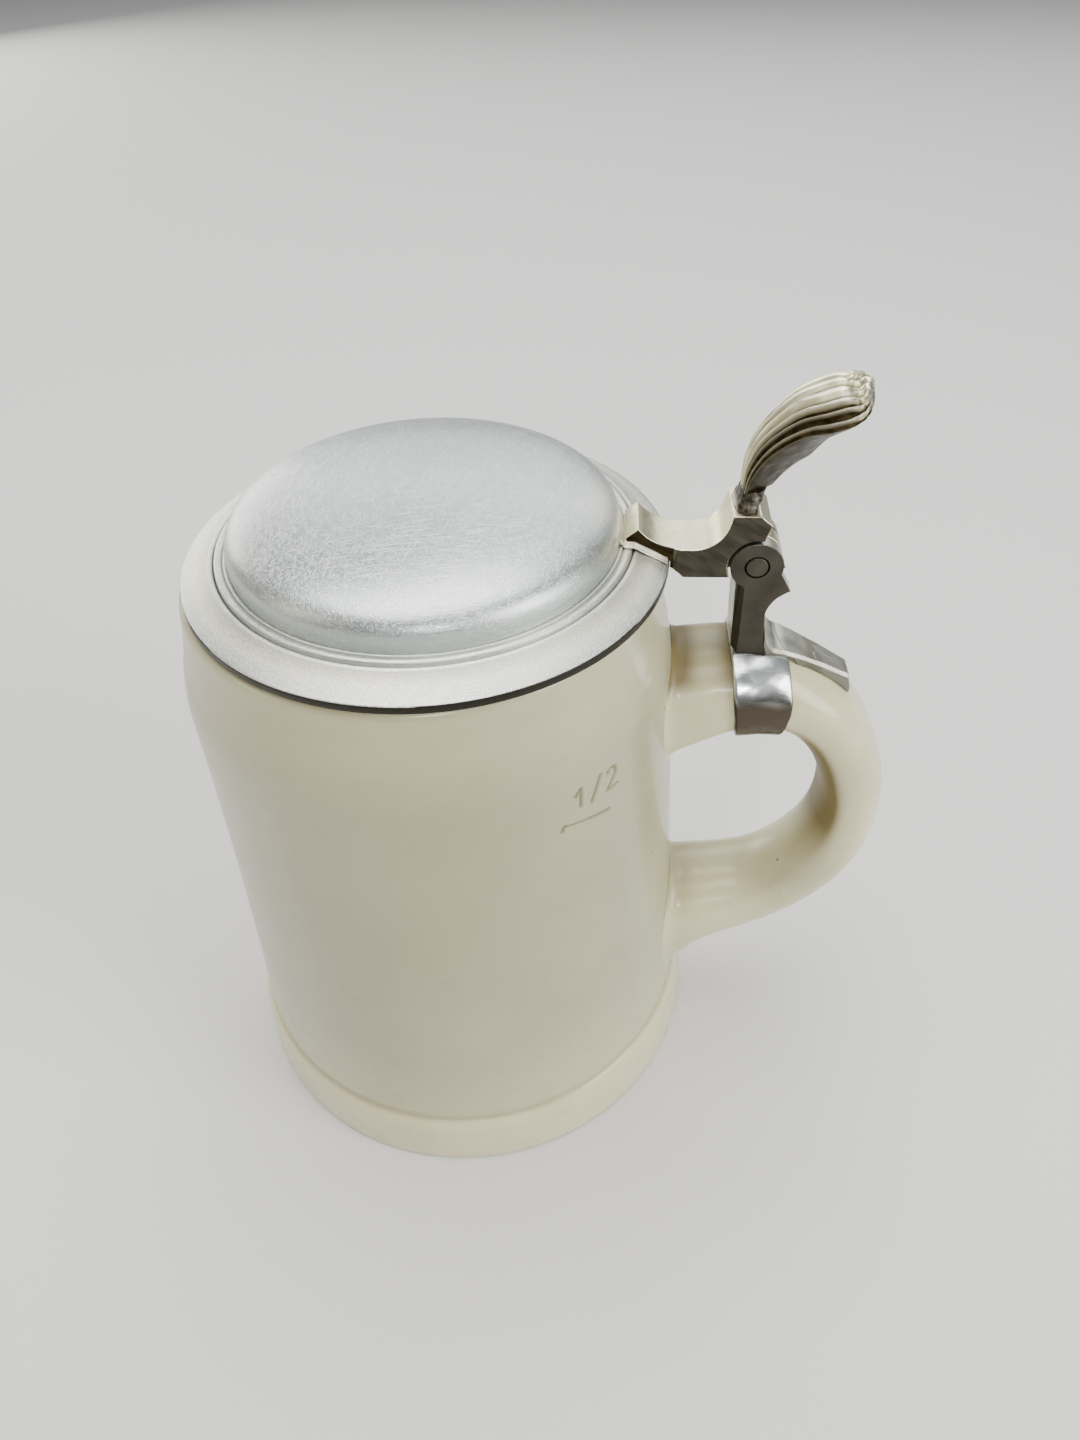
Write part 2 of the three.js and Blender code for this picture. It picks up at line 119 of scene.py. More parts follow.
def full_turn(steps):
    """Angles all the way round, without the first one again at the end."""
    return np.linspace(0, 2 * math.pi, steps, endpoint=False)


def bezier(controls, steps):
    """Points on a Bezier curve of any degree, without its first point."""
    controls = [np.array(c, float) for c in controls]
    degree = len(controls) - 1
    made = []
    for i in range(1, steps + 1):
        t = i / steps
        made.append(sum(
            math.comb(degree, k) * (1 - t) ** (degree - k) * t ** k * controls[k]
            for k in range(degree + 1)
        ))
    return made


def outline(start, *stretches):
    """An outline from straight stretches ((x, y),) and curved ones ((x, y), (x, y), ..., steps)."""
    points = [np.array(start, float)]
    for stretch in stretches:
        if isinstance(stretch[-1], int):
            points += bezier([points[-1], *stretch[:-1]], stretch[-1])
        else:
            points.append(np.array(stretch[0], float))
    return np.array(points)


def lathe(name, profile, azimuths, sharp_degrees=None):
    """A solid of revolution. The profile runs from the axis, round the outside and back to it."""
    inner = profile[1:-1]
    rows, columns = len(inner), len(azimuths)
    turn = np.array(azimuths)
    points = np.zeros((rows, columns, 3))
    points[:, :, 0] = inner[:, :1] * np.cos(turn)
    points[:, :, 1] = inner[:, :1] * np.sin(turn)
    points[:, :, 2] = inner[:, 1:]
    points = points.reshape(-1, 3)
    faces = []
    for r in range(rows - 1):
        for c in range(columns):
            n = (c + 1) % columns
            low, high = r * columns, (r + 1) * columns
            faces.append((low + c, low + n, high + n, high + c))
    first, last = len(points), len(points) + 1
    points = np.vstack([points, [[0, 0, profile[0][1]], [0, 0, profile[-1][1]]]])
    for c in range(columns):
        n = (c + 1) % columns
        faces.append((first, n, c))
        faces.append((last, (rows - 1) * columns + c, (rows - 1) * columns + n))
    return mesh_object(name, points, faces, sharp_degrees=sharp_degrees)


def loft(name, rings, caps=True, closed=False, sharp_degrees=None):
    """A skin through rings of equal length, each listed clockwise as seen along the loft."""
    rings = np.array(rings, float)
    count, around = rings.shape[:2]
    points = rings.reshape(-1, 3)
    faces = []
    for r in range(count if closed else count - 1):
        s = (r + 1) % count
        for c in range(around):
            n = (c + 1) % around
            faces.append((r * around + c, s * around + c, s * around + n, r * around + n))
    if caps and not closed:
        middles = [rings[0].mean(0), rings[-1].mean(0)]
        first = len(points)
        points = np.vstack([points, middles])
        for c in range(around):
            n = (c + 1) % around
            faces.append((first, c, n))
            faces.append((first + 1, (count - 1) * around + n, (count - 1) * around + c))
    obj = mesh_object(name, points, faces, sharp_degrees=sharp_degrees)
    fix_normals(obj)
    return obj


def slab(name, shape_xz, low_y, high_y):
    """A closed plate: an outline in the XZ plane, made thick along Y."""
    count = len(shape_xz)
    near = [(x, low_y, z) for x, z in shape_xz]
    far = [(x, high_y, z) for x, z in shape_xz]
    faces = [tuple(range(count)), tuple(reversed(range(count, 2 * count)))]
    for i in range(count):
        n = (i + 1) % count
        faces.append((n, i, count + i, count + n))
    obj = mesh_object(name, near + far, faces, smooth=False)
    fix_normals(obj)
    return obj


def fix_normals(obj):
    work = bmesh.new()
    work.from_mesh(obj.data)
    bmesh.ops.recalc_face_normals(work, faces=work.faces)
    work.to_mesh(obj.data)
    work.free()


def bar_along_y(name, x, z, radius, low_y, high_y, steps=96):
    circle = [(x + radius * math.cos(a), z + radius * math.sin(a)) for a in full_turn(steps)]
    return slab(name, circle, low_y, high_y)


def apply_modifiers(obj):
    graph = bpy.context.evaluated_depsgraph_get()
    mesh = bpy.data.meshes.new_from_object(obj.evaluated_get(graph))
    obj.modifiers.clear()
    old = obj.data
    obj.data = mesh
    bpy.data.meshes.remove(old)


def combine(obj, other, operation):
    modifier = obj.modifiers.new("boolean", "BOOLEAN")
    modifier.operation = operation
    modifier.solver = "EXACT"
    modifier.object = other
    apply_modifiers(obj)
    bpy.data.objects.remove(other)


def cast(obj, voxel_mm, smooth_steps):
    """Turns sharp solids into a casting: one fine skin with softly rounded edges."""
    remesh = obj.modifiers.new("remesh", "REMESH")
    remesh.mode = "VOXEL"
    remesh.voxel_size = voxel_mm * MM
    remesh.use_smooth_shade = True
    if smooth_steps:
        smooth = obj.modifiers.new("smooth", "SMOOTH")
        smooth.factor = 0.5
        smooth.iterations = smooth_steps
    apply_modifiers(obj)
    obj.data.shade_smooth()


def waves(points, wavelength, seed, count=9):
    """A smooth uneven field from -1 to 1, made of sine waves in seeded directions."""
    draw = np.random.default_rng(seed)
    total = np.zeros(len(points))
    for _ in range(count):
        direction = draw.normal(size=3)
        direction /= np.linalg.norm(direction)
        length = wavelength * draw.uniform(0.7, 1.6)
        total += np.sin(points @ direction * (2 * math.pi / length) + draw.uniform(0, 2 * math.pi))
    return total / math.sqrt(count * 2)


def piece(obj, body, material, slot_name, *nodes):
    obj.data.materials.clear()
    obj.data.materials.append(material)
    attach(obj, body)
    if nodes:
        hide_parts(*nodes)
    return obj


def rise(x, low, high):
    """A smooth step from 0 at low to 1 at high."""
    t = np.clip((np.asarray(x, float) - low) / (high - low), 0, 1)
    return t * t * (3 - 2 * t)


# ---------------------------------------------------------------- material helpers


def connect(tree, socket, value):
    """Gives an input a value, or links another node's output to it."""
    if isinstance(value, bpy.types.NodeSocket):
        tree.links.new(value, socket)
    else:
        socket.default_value = value


def add(tree, kind, settings=None, inputs=None):
    node = tree.nodes.new(kind)
    for key, value in (settings or {}).items():
        setattr(node, key, value)
    for key, value in (inputs or {}).items():
        connect(tree, node.inputs[key], value)
    return node


def ramp(tree, value, *stops):
    node = add(tree, "ShaderNodeValToRGB", inputs={"Fac": value})
    elements = node.color_ramp.elements
    while len(elements) < len(stops):
        elements.new(0.5)
    for element, (place, colour) in zip(elements, stops):
        element.position = place
        element.color = (*colour, 1) if isinstance(colour, tuple) else (colour, colour, colour, 1)
    return node.outputs["Color"]


def mix(tree, share, first, second, blend="MIX"):
    node = add(tree, "ShaderNodeMix", {"data_type": "RGBA", "blend_type": blend})
    for index, value in ((0, share), (6, first), (7, second)):
        connect(tree, node.inputs[index], (*value, 1) if isinstance(value, tuple) else value)
    return node.outputs[2]


def calc(tree, operation, *values):
    node = add(tree, "ShaderNodeMath", {"operation": operation})
    for socket, value in zip(node.inputs, values):
        connect(tree, socket, value)
    return node.outputs[0]


def place_nodes(tree, stretch=(1, 1, 1), turn=(0, 0, 0)):
    coordinates = add(tree, "ShaderNodeTexCoord")
    mapping = add(tree, "ShaderNodeMapping", {"vector_type": "TEXTURE"}, {
        "Vector": coordinates.outputs["Object"],
        "Scale": [1 / s for s in stretch],
        "Rotation": [math.radians(a) for a in turn],
    })
    return mapping.outputs["Vector"]


def speckle(tree, size_mm, detail=2.0, stretch=(1, 1, 1), turn=(0, 0, 0), roughness=0.5):
    node = add(tree, "ShaderNodeTexNoise", inputs={
        "Vector": place_nodes(tree, stretch, turn),
        "Scale": 1000 / size_mm,
        "Detail": detail,
        "Roughness": roughness,
    })
    return node.outputs["Fac"]


def value_of(tree, name):
    return add(tree, "ShaderNodeAttribute", {"attribute_name": name}).outputs["Fac"]


def bump(tree, height, distance_mm, strength=1.0, normal=None):
    inputs = {"Height": height, "Distance": distance_mm * MM, "Strength": strength}
    if normal is not None:
        inputs["Normal"] = normal
    return add(tree, "ShaderNodeBump", inputs=inputs).outputs["Normal"]


def new_material(name, metallic=0.0):
    material = bpy.data.materials.new(name)
    material.use_nodes = True
    feed(material.node_tree, "Metallic", metallic)
    return material, material.node_tree


def painted(tree, base, name, colour):
    """The base with a colour laid over it where the point value of that name is high."""
    return mix(tree, value_of(tree, name), base, colour)


def plus(tree, value, more, share):
    return calc(tree, "ADD", value, calc(tree, "MULTIPLY", more, share))


def feed(tree, name, value):
    """Sets one input of the material's own shader."""
    connect(tree, tree.nodes["Principled BSDF"].inputs[name], value)


def between(tree, first, second, size_mm, detail, low=0.35, high=0.7, roughness=0.5):
    """A colour that drifts between two tones in patches of about one size."""
    share = ramp(tree, speckle(tree, size_mm, detail, roughness=roughness), (low, 0.0), (high, 1.0))
    return mix(tree, share, first, second)


def uneven_gloss(tree, size_mm, detail, smooth, dull):
    """A roughness that drifts between two values."""
    return ramp(tree, speckle(tree, size_mm, detail), (0.3, smooth), (0.7, dull))


# ---------------------------------------------------------------- materials


def iron_specks(tree, cell_mm):
    """1 inside a speck and 0 elsewhere. Most cells have none, and the others differ in size."""
    cells = add(tree, "ShaderNodeTexVoronoi", {"feature": "F1"}, {
        "Vector": place_nodes(tree), "Scale": 1000 / cell_mm, "Randomness": 1.0,
    })
    draw = add(tree, "ShaderNodeSeparateColor", inputs={"Color": cells.outputs["Color"]}).outputs[0]
    size = calc(tree, "MULTIPLY", ramp(tree, draw, (0.72, 0.0), (1.0, 1.0)), 0.055)
    return calc(tree, "LESS_THAN", cells.outputs["Distance"], size)


def glazed_stoneware():
    """Clear salt glaze over pale clay, creamier where it is thick, with iron specks. The cream also lays a
    painted highlight, and the brown pool colour also lays painted shade and shadow.
    """
    material, tree = new_material("glazed_stoneware")
    cream, thin_spot, pool_and_shade_colour = (0.72, 0.665, 0.40), (0.33, 0.30, 0.17), (0.13, 0.085, 0.016)
    iron, bare_clay = (0.06, 0.045, 0.03), (0.50, 0.44, 0.33)
    colour = between(tree, (0.355, 0.335, 0.20), (0.43, 0.415, 0.26), 55, 3, high=0.65)
    # cream: thick glaze, and also a painted highlight on the foot ring
    colour = painted(tree, colour, "cream", cream)
    colour = mix(tree, ramp(tree, speckle(tree, 6, 4), (0.42, 0.0), (0.75, 0.16)), colour, thin_spot)
    # brown: glaze pooled in grooves and joints, and also painted shade and shadow
    colour = painted(tree, colour, "pool_and_shade", pool_and_shade_colour)
    colour = mix(tree, calc(tree, "MULTIPLY", iron_specks(tree, 9.0), 0.9), colour, iron)
    colour = painted(tree, colour, "bare", bare_clay)
    feed(tree, "Base Color", colour)
    rough = uneven_gloss(tree, 14, 3, 0.25, 0.34)
    rough = painted(tree, rough, "pool_and_shade", (0.5, 0.5, 0.5))
    rough = painted(tree, rough, "bare", (0.85, 0.85, 0.85))
    feed(tree, "Roughness", rough)
    coat = painted(tree, (0.28, 0.28, 0.28), "pool_and_shade", (0.0, 0.0, 0.0))
    feed(tree, "Coat Weight", coat)
    feed(tree, "Coat Roughness", 0.1)
    skin = bump(tree, speckle(tree, 2.2, 2), 0.02, 0.5)
    feed(tree, "Normal", bump(tree, speckle(tree, 12, 2), 0.12, 0.35, skin))
    return material


def scratches(tree, *directions):
    """Fine lines, 1 on a scratch. Each direction has its turn in degrees and its spacing in mm."""
    total = None
    for turn, size in directions:
        noise = speckle(tree, size, 1.0, (0.035, 1, 1), turn, 0.4)
        line = ramp(tree, noise, (0.58, 0.0), (0.72, 1.0))
        total = line if total is None else calc(tree, "MAXIMUM", total, line)
    return total


def lid_pewter():
    """Satin pewter, finely scratched in all directions, dulled in the grooves, with painted shade on the
    outer edge and underneath.
    """
    material, tree = new_material("lid_pewter", 1.0)
    lines = scratches(tree, ((0, 0, 12), 0.22), ((0, 0, 75), 0.25), ((20, 0, 140), 0.2), ((0, 0, 108), 0.18))
    base = between(tree, (0.50, 0.55, 0.53), (0.57, 0.615, 0.59), 14, 5, roughness=0.65)
    base = painted(tree, base, "matte", (0.86, 0.84, 0.70))
    base = mix(tree, calc(tree, "MULTIPLY", lines, 0.6), base, (0.90, 0.92, 0.88))
    # dark where dirt sits in the grooves and where shade is painted
    base = painted(tree, base, "dirt_and_shade", (0.03, 0.028, 0.022))
    feed(tree, "Base Color", base)
    rough = uneven_gloss(tree, 2, 4, 0.31, 0.36)
    rough = plus(tree, rough, value_of(tree, "matte"), 0.14)
    feed(tree, "Roughness", plus(tree, rough, lines, 0.06))
    uneven = bump(tree, speckle(tree, 18, 2), 0.2, 0.2)
    feed(tree, "Normal", bump(tree, lines, 0.03, 0.6, uneven))
    return material


def aged_pewter():
    """Yellowed satin pewter, dark in its grooves and bright on what hands rub, with painted highlights and
    painted shade on sides, backs and undersides.
    """
    material, tree = new_material("aged_pewter", 1.0)
    # bright colour: rubbed wear, and painted highlights
    rubbed_and_highlight = (0.93, 0.90, 0.70)
    streaks = ramp(tree, speckle(tree, 1.2, 3, (0.25, 1, 1), (0, 30, 0)), (0.35, 0.0), (0.7, 1.0))
    # painted shade for sides, backs and undersides
    shaded_flank = mix(tree, streaks, (0.042, 0.037, 0.027), (0.075, 0.068, 0.052))
    # darkest colour: grime in the grooves, and painted shade
    grime_and_shade_colour = mix(tree, streaks, (0.012, 0.008, 0.003), (0.05, 0.035, 0.014))
    base = between(tree, (0.70, 0.63, 0.36), (0.86, 0.81, 0.56), 3.5, 4)
    base = painted(tree, base, "ridge", rubbed_and_highlight)
    base = painted(tree, base, "side", shaded_flank)
    base = painted(tree, base, "dirt_and_shade", grime_and_shade_colour)
    feed(tree, "Base Color", base)
    rough = uneven_gloss(tree, 1.6, 3, 0.26, 0.40)
    feed(tree, "Roughness", plus(tree, rough, value_of(tree, "dirt_and_shade"), 0.2))
    feed(tree, "Normal", bump(tree, speckle(tree, 0.9, 3), 0.05, 0.35))
    return material


def dark_pewter():
    """Plain dull pewter with filing marks, lighter where filing left it bright and where light is painted on,
    and darkened where shade is painted.
    """
    material, tree = new_material("dark_pewter", 1.0)
    patches = ramp(tree, speckle(tree, 4.5, 1, roughness=0.3), (0.42, 0.0), (0.56, 1.0))
    # lighter colour: metal filed bright, and painted light on lit faces and edges
    filed_and_lit = mix(tree, patches, (0.46, 0.455, 0.37), (0.66, 0.66, 0.56))
    base = between(tree, (0.050, 0.044, 0.034), (0.078, 0.071, 0.056), 5, 4)
    base = painted(tree, base, "light", filed_and_lit)
    # darkest colour: painted shade in gaps and recesses, with some dirt
    base = painted(tree, base, "dirt_and_shade", (0.014, 0.012, 0.006))
    feed(tree, "Base Color", base)
    feed(tree, "Roughness", uneven_gloss(tree, 2.5, 3, 0.34, 0.46))
    lines = scratches(tree, ((0, 35, 0), 0.3), ((0, -50, 0), 0.35))
    feed(tree, "Normal", bump(tree, lines, 0.015, 0.5))
    return material


def polished_band():
    """Bright metal polished by wear along the strip, dark brown towards the bottom, with painted shade along
    one edge.
    """
    material, tree = new_material("polished_band", 1.0)
    tone = between(tree, (0.74, 0.79, 0.78), (0.86, 0.89, 0.87), 6, 3, low=0.3)
    base = painted(tree, tone, "dirt_and_shade", (0.055, 0.038, 0.022))
    feed(tree, "Base Color", base)
    feed(tree, "Roughness", uneven_gloss(tree, 2, 3, 0.2, 0.3))
    lines = scratches(tree, ((0, 0, 4), 0.5), ((0, 12, 0), 0.7))
    feed(tree, "Normal", bump(tree, lines, 0.02, 0.35))
    return material


def rough_solder():
    """Grey solder, crusted with black grime where it is left as it ran and cream where it was smoothed."""
    material, tree = new_material("rough_solder", 1.0)
    tone = between(tree, (0.032, 0.027, 0.02), (0.15, 0.135, 0.105), 1.1, 4, low=0.4, high=0.65)
    tone = painted(tree, tone, "light", (0.74, 0.70, 0.56))
    feed(tree, "Base Color", tone)
    feed(tree, "Roughness", uneven_gloss(tree, 0.7, 3, 0.38, 0.6))
    feed(tree, "Normal", bump(tree, speckle(tree, 0.8, 3), 0.1, 0.5))
    return material


GLAZE = glazed_stoneware()
LID_METAL = lid_pewter()
AGED = aged_pewter()
DARK = dark_pewter()
BAND_METAL = polished_band()
SOLDER = rough_solder()

# ---------------------------------------------------------------- mug body

FOOT_TOP_RADIUS = 51.5
WALL_LOW = (50.0, 16.2)
WALL_WAIST = (47.55, 50)
WALL_HIGH = (46.1, 105)
NECK = (42.9, 123.4)
RIM_MIDDLE = 40.3
MOUTH_RADIUS = 37.9
OUTSIDE = 45  # points of the body wider than this are on its outside
LEAN = 0.0118  # the mug leans this much away from the handle for each mm of height


def mug_profile():
    foot = FOOT_RADIUS
    return outline(
        (0, 0.9),
        ((36, 0.9),), ((42.5, 0.9), (43.5, 0.9), (44.6, 0.0), 5),
        ((foot - 1.3, 0.0),),
        ((foot, 0.0), (foot, 1.3), 6),
        ((FOOT_TOP_RADIUS + 0.3, 5.6),), ((FOOT_TOP_RADIUS + 0.05, 9.4),),
        ((FOOT_TOP_RADIUS - 0.15, 12.4), (50.4, 13.5), 16),
        ((49.85, 13.9), (49.75, 14.5), 5), ((49.8, 15.2), WALL_LOW, 8),
        (WALL_WAIST, WALL_HIGH, 90),
        ((46.0, 111), (44.1, 114.5), NECK, 30),
        ((NECK[0], RIM_TOP), (RIM_MIDDLE, RIM_TOP), 8),
        ((MOUTH_RADIUS, RIM_TOP), (MOUTH_RADIUS, 123), 8),
        ((MOUTH_RADIUS, 117.6), (41.0, 113.5), (41.4, 106), 16),
        ((42.3, 50), (44.2, 18), 20),
        ((44.2, 8), (36, 8), 12),
        ((18, 8),), ((0, 8),),
    )


def wall_radius(z):
    """Radius of the outer wall at height z."""
    profile = mug_profile()
    start = int(np.argmin(abs(profile[:, 1] - WALL_LOW[1]) + abs(profile[:, 0] - WALL_LOW[0])))
    wall = profile[start:start + 121]
    return np.interp(z, wall[:, 1], wall[:, 0])


# A generic fill mark: a line with a half sign above it, pressed into the clay.
MARK_AZIMUTH = math.radians(-46.8)
MARK_RADIUS = 46.3
MARK_HALF_WIDTH = 8.0
MARK_LOW, MARK_HIGH = 92.0, 105.0
MARK_DEPTH = 0.34
STROKE_HALF_WIDTH = 0.32


def mark_strokes():
    turn = np.linspace(math.radians(160), math.radians(-40), 9)
    bow = [(4.4 + 1.15 * math.cos(a), 102.1 + 1.15 * math.sin(a)) for a in turn]
    return [
        [(-6.8, 95.8), (3.6, 93.7)],
        [(-7.1, 95.0), (-6.3, 96.1)],
        [(-4.0, 101.8), (-2.8, 103.1), (-2.9, 98.8)],
        [(-0.5, 98.3), (1.7, 103.5)],
        bow + [(3.3, 98.5), (5.8, 98.5)],
    ]


def distance_to_strokes(across, up):
    best = np.full(len(across), 99.0)
    for stroke in mark_strokes():
        for (x0, z0), (x1, z1) in zip(stroke, stroke[1:]):
            dx, dz = x1 - x0, z1 - z0
            along = np.clip(((across - x0) * dx + (up - z0) * dz) / (dx * dx + dz * dz), 0, 1)
            best = np.minimum(best, np.hypot(across - x0 - along * dx, up - z0 - along * dz))
    return best


def mug_azimuths():
    half = MARK_HALF_WIDTH / MARK_RADIUS
    fine = np.linspace(MARK_AZIMUTH - half, MARK_AZIMUTH + half, 104)
    coarse = np.linspace(MARK_AZIMUTH + half, MARK_AZIMUTH - half + 2 * math.pi, 196)
    return list(fine) + list(coarse[1:-1])


def with_fine_rows(profile, low, high, step):
    """The same profile with more points on the outer wall between two heights."""
    z = profile[:, 1]
    outer = (z > low) & (z < high) & (profile[:, 0] > OUTSIDE)
    places = np.where(outer)[0]
    heights = np.arange(low, high, step)
    wall = profile[places[0] - 1:places[-1] + 2]
    fine = np.stack([np.interp(heights, wall[:, 1], wall[:, 0]), heights], 1)
    fine = fine[(fine[:, 1] > wall[0, 1]) & (fine[:, 1] < wall[-1, 1])]
    return np.vstack([profile[:places[0]], fine, profile[places[-1] + 1:]])


def mug():
    profile = with_fine_rows(mug_profile(), MARK_LOW, MARK_HIGH, 0.16)
    obj = lathe("stoneware_mug", profile, mug_azimuths())
    points = points_of(obj)
    x, y, z = points.T.copy()
    radius = np.hypot(x, y)
    outside = radius > OUTSIDE
    wall = rise(z, 16, 24) * (1 - rise(z, 112, 122)) * outside
    push = wall * 0.16 * waves(points, 46, 3)
    across = (np.arctan2(y, x) - MARK_AZIMUTH) * MARK_RADIUS
    near_mark = (abs(across) < MARK_HALF_WIDTH) & (z > MARK_LOW) & (z < MARK_HIGH) & outside
    away = distance_to_strokes(across, z)
    groove = np.exp(-((away / STROKE_HALF_WIDTH) ** 2))
    lip = np.exp(-(((away - 0.75) / 0.3) ** 2))
    push += np.where(near_mark, -MARK_DEPTH * groove + 0.05 * lip, 0)
    scale = np.where(radius > 1e-6, 1 + push / np.maximum(radius, 1e-6), 1)
    points[:, 0] = x * scale - LEAN * z
    points[:, 1] = y * scale
    move_points(obj, points)
    inside = (radius < 45.5) & (z > 5) & (z < 122)
    # painted highlight: cream along the top of the foot ring
    foot_highlight = (1 - rise(z, 13.2, 14.2)) * outside
    low_wall = (1 - rise(z, 14, 40)) * outside
    cream = 0.3 * low_wall + 0.5 * foot_highlight + 0.3 * rise(z, 105, 120)
    # painted shadow: a dark line on the neck just under the lid's flange
    shadow_under_lid = 0.95 * rise(z, FLANGE_BOTTOM - 1.0, FLANGE_BOTTOM - 0.3) * (radius > RIM_MIDDLE)
    # painted shade in the crease between the foot ring and the wall
    crease_shade = 0.2 * np.exp(-(((z - 14.2) / 0.6) ** 2)) * outside
    in_mark = np.where(near_mark, 0.75 * groove, 0)
    point_value(obj, "cream", np.clip(cream, 0, 1))
    point_value(obj, "pool_and_shade", in_mark + np.where(inside, 0.05, 0) + crease_shade + shadow_under_lid)
    point_value(obj, "bare", 1.0 * (z < 1.1) * (radius < FOOT_RADIUS - 0.4))
    return piece(obj, "mug", GLAZE, "stoneware", "mug_body")


# ---------------------------------------------------------------- handle

# Stations along the middle line, from inside the wall at the upper joint to inside it at the lower.
HANDLE_LINE = np.array([
    (35.3, 91.4), (44.5, 95.1), (53.9, 98.3), (62.3, 98.6),
    (69.6, 95.9), (75.9, 90.2), (80.9, 81.5), (83.7, 71.2),
    (83.2, 60.5), (79.6, 50.6), (73.4, 42.7), (66.4, 37.7),
    (58.2, 34.4), (51.6, 31.9), (46.4, 28.9), (40.0, 24.9),
])
HANDLE_HEIGHTS = [12.4, 11, 9.4, 8.2, 7.2, 6.6, 6.4, 6.5, 6.7, 7, 7.4, 8, 9.2, 10.4, 12, 13.6]
HANDLE_WIDTHS = [13.2, 12.4, 11.7, 11, 10.5, 10.1, 9.8, 9.7, 9.6, 9.7, 9.9, 10.3, 11, 11.9, 12.7, 13.5]
LAST_STATION = len(HANDLE_LINE) - 1
SECTION_POWER = 2.3
HANDLE_AROUND = 96
HANDLE_HOLE = np.array([62.0, 0.0, 68.0])  # the middle of the opening for the hand


def spline(values, place):
    """Catmull-Rom through values that stand at the places 0, 1, 2 and so on."""
    values = np.asarray(values, float)
    place = np.atleast_1d(np.asarray(place, float))
    padded = np.concatenate([[2 * values[0] - values[1]], values, [2 * values[-1] - values[-2]]])
    low = np.clip(np.floor(place).astype(int), 0, len(values) - 2)
    f = (place - low).reshape(-1, *([1] * (values.ndim - 1)))
    a, b, c, d = (padded[low + k] for k in range(4))
    square = 2 * a - 5 * b + 4 * c - d
    cube = 3 * b - a - 3 * c + d
    return 0.5 * (2 * b + (c - a) * f + square * f ** 2 + cube * f ** 3)


def oval(turn):
    """(up, side) on a rounded oval of unit size."""
    up = np.sign(np.cos(turn)) * abs(np.cos(turn)) ** (2 / SECTION_POWER)
    side = np.sign(np.sin(turn)) * abs(np.sin(turn)) ** (2 / SECTION_POWER)
    return up, side


def handle_point(station, turn, grow=0.0):
    """Points on the handle's skin, for arrays of stations and of turns round the section (0 outside)."""
    station = np.asarray(station, float)
    middle = spline(HANDLE_LINE, station)
    ahead = spline(HANDLE_LINE, station + 0.01) - spline(HANDLE_LINE, station - 0.01)
    ahead /= np.linalg.norm(ahead, axis=1)[:, None]
    up, side = oval(turn)
    height = spline(HANDLE_HEIGHTS, station) + grow
    width = spline(HANDLE_WIDTHS, station) + grow
    x = middle[:, 0] - ahead[:, 1] * height * up
    z = middle[:, 1] + ahead[:, 0] * height * up
    return np.stack([x, width * side, z], 1)


def wall_gap(points):
    """How far outside the mug's wall the points are."""
    return np.hypot(points[:, 0] + LEAN * points[:, 2], points[:, 1]) - wall_radius(points[:, 2])


def flare(turn, first, last, reach, steps=10):
    """The handle's skin line at one turn, from its free stretch into a fillet that ends on the wall."""
    stations = np.linspace(first, last, 500)
    line = handle_point(stations, np.full(500, turn))
    free = np.where(wall_gap(line) > 0)[0][0]
    touch = line[free]
    travelled = np.concatenate([[0], np.cumsum(np.linalg.norm(np.diff(line[free:], axis=0), axis=1))])
    start = free + int(np.searchsorted(travelled, reach))
    middle_z = spline(HANDLE_LINE, stations[free])[0][1]
    out_side, out_up = touch[1], touch[2] - middle_z
    length = math.hypot(out_side, out_up)
    spread = 0.8 * reach
    azimuth = math.atan2(touch[1], touch[0] + LEAN * touch[2]) + spread * out_side / length / MARK_RADIUS
    z = touch[2] + spread * out_up / length
    radius = wall_radius(z) - 0.06
    landing = np.array([radius * math.cos(azimuth) - LEAN * z, radius * math.sin(azimuth), z])
    curve = bezier([landing, touch, line[start]], steps)
    return [landing, *curve], stations[start]


def handle():
    turns = full_turn(HANDLE_AROUND)
    columns = []
    for turn in turns:
        upper, first = flare(turn, 0, 4, 2.6)
        lower, last = flare(turn, LAST_STATION, LAST_STATION - 4, 3.4)
        stations = np.linspace(first, last, 170)[1:-1]
        middle = handle_point(stations, np.full(len(stations), turn))
        columns.append(np.vstack([upper, middle, lower[::-1]]))
    rings = np.array(columns).transpose(1, 0, 2)
    obj = loft("stoneware_handle", rings, caps=False)
    points = points_of(obj)
    normals = normals_of(obj)
    rolled = 0.16 * waves(points, 22, 8) + 0.05 * waves(points, 9, 9)
    points += normals * (rise(wall_gap(points), 1.5, 6) * rolled)[:, None]
    move_points(obj, points)
    x, _, z = points.T
    inward = HANDLE_HOLE - points
    facing = (inward * normals).sum(1) / np.linalg.norm(inward, axis=1)
    # Glaze pools at the joints; the upper stub's top by the wall also gets painted shadow and reflection.
    corner = 1 - rise(wall_gap(points), 0.3, 9)
    # painted shadow beside the band's left edge
    band_shadow = rise(x, 49, 55.5) * (1 - rise(x, 57, 58)) * rise(z, 101, 106.5)
    top = rise(z, 101, 105) * (x < 58)
    lower_corner = corner * rise(z, 36, 42) * (1 - rise(z, 60, 80))
    # painted shade on the inner side of the loop
    inner = rise(facing, -0.1, 0.45) * (1 - 0.75 * corner) * rise(x, 64, 74) * rise(z, 50, 68)
    pool_and_shade = 1.1 * corner * top + 0.85 * band_shadow + 1.05 * inner + 0.4 * lower_corner
    point_value(obj, "cream", 0.75 + 0.2 * waves(points, 30, 5))
    point_value(obj, "pool_and_shade", np.clip(pool_and_shade, 0, 0.9))
    point_value(obj, "bare", np.zeros(len(points)))
    return piece(obj, "mug", GLAZE, "stoneware", "handle")


# ---------------------------------------------------------------- band round the handle

BAND_STEPS_AROUND = 140
BAND_GAP = 0.16
BAND_THICK = 1.15
BAND_CROWN = 0.32
# Where the band starts and ends, in stations of the handle.
BAND_START = 2.27
BAND_END_TOP = 3.23
BAND_END_BOTTOM = 3.94


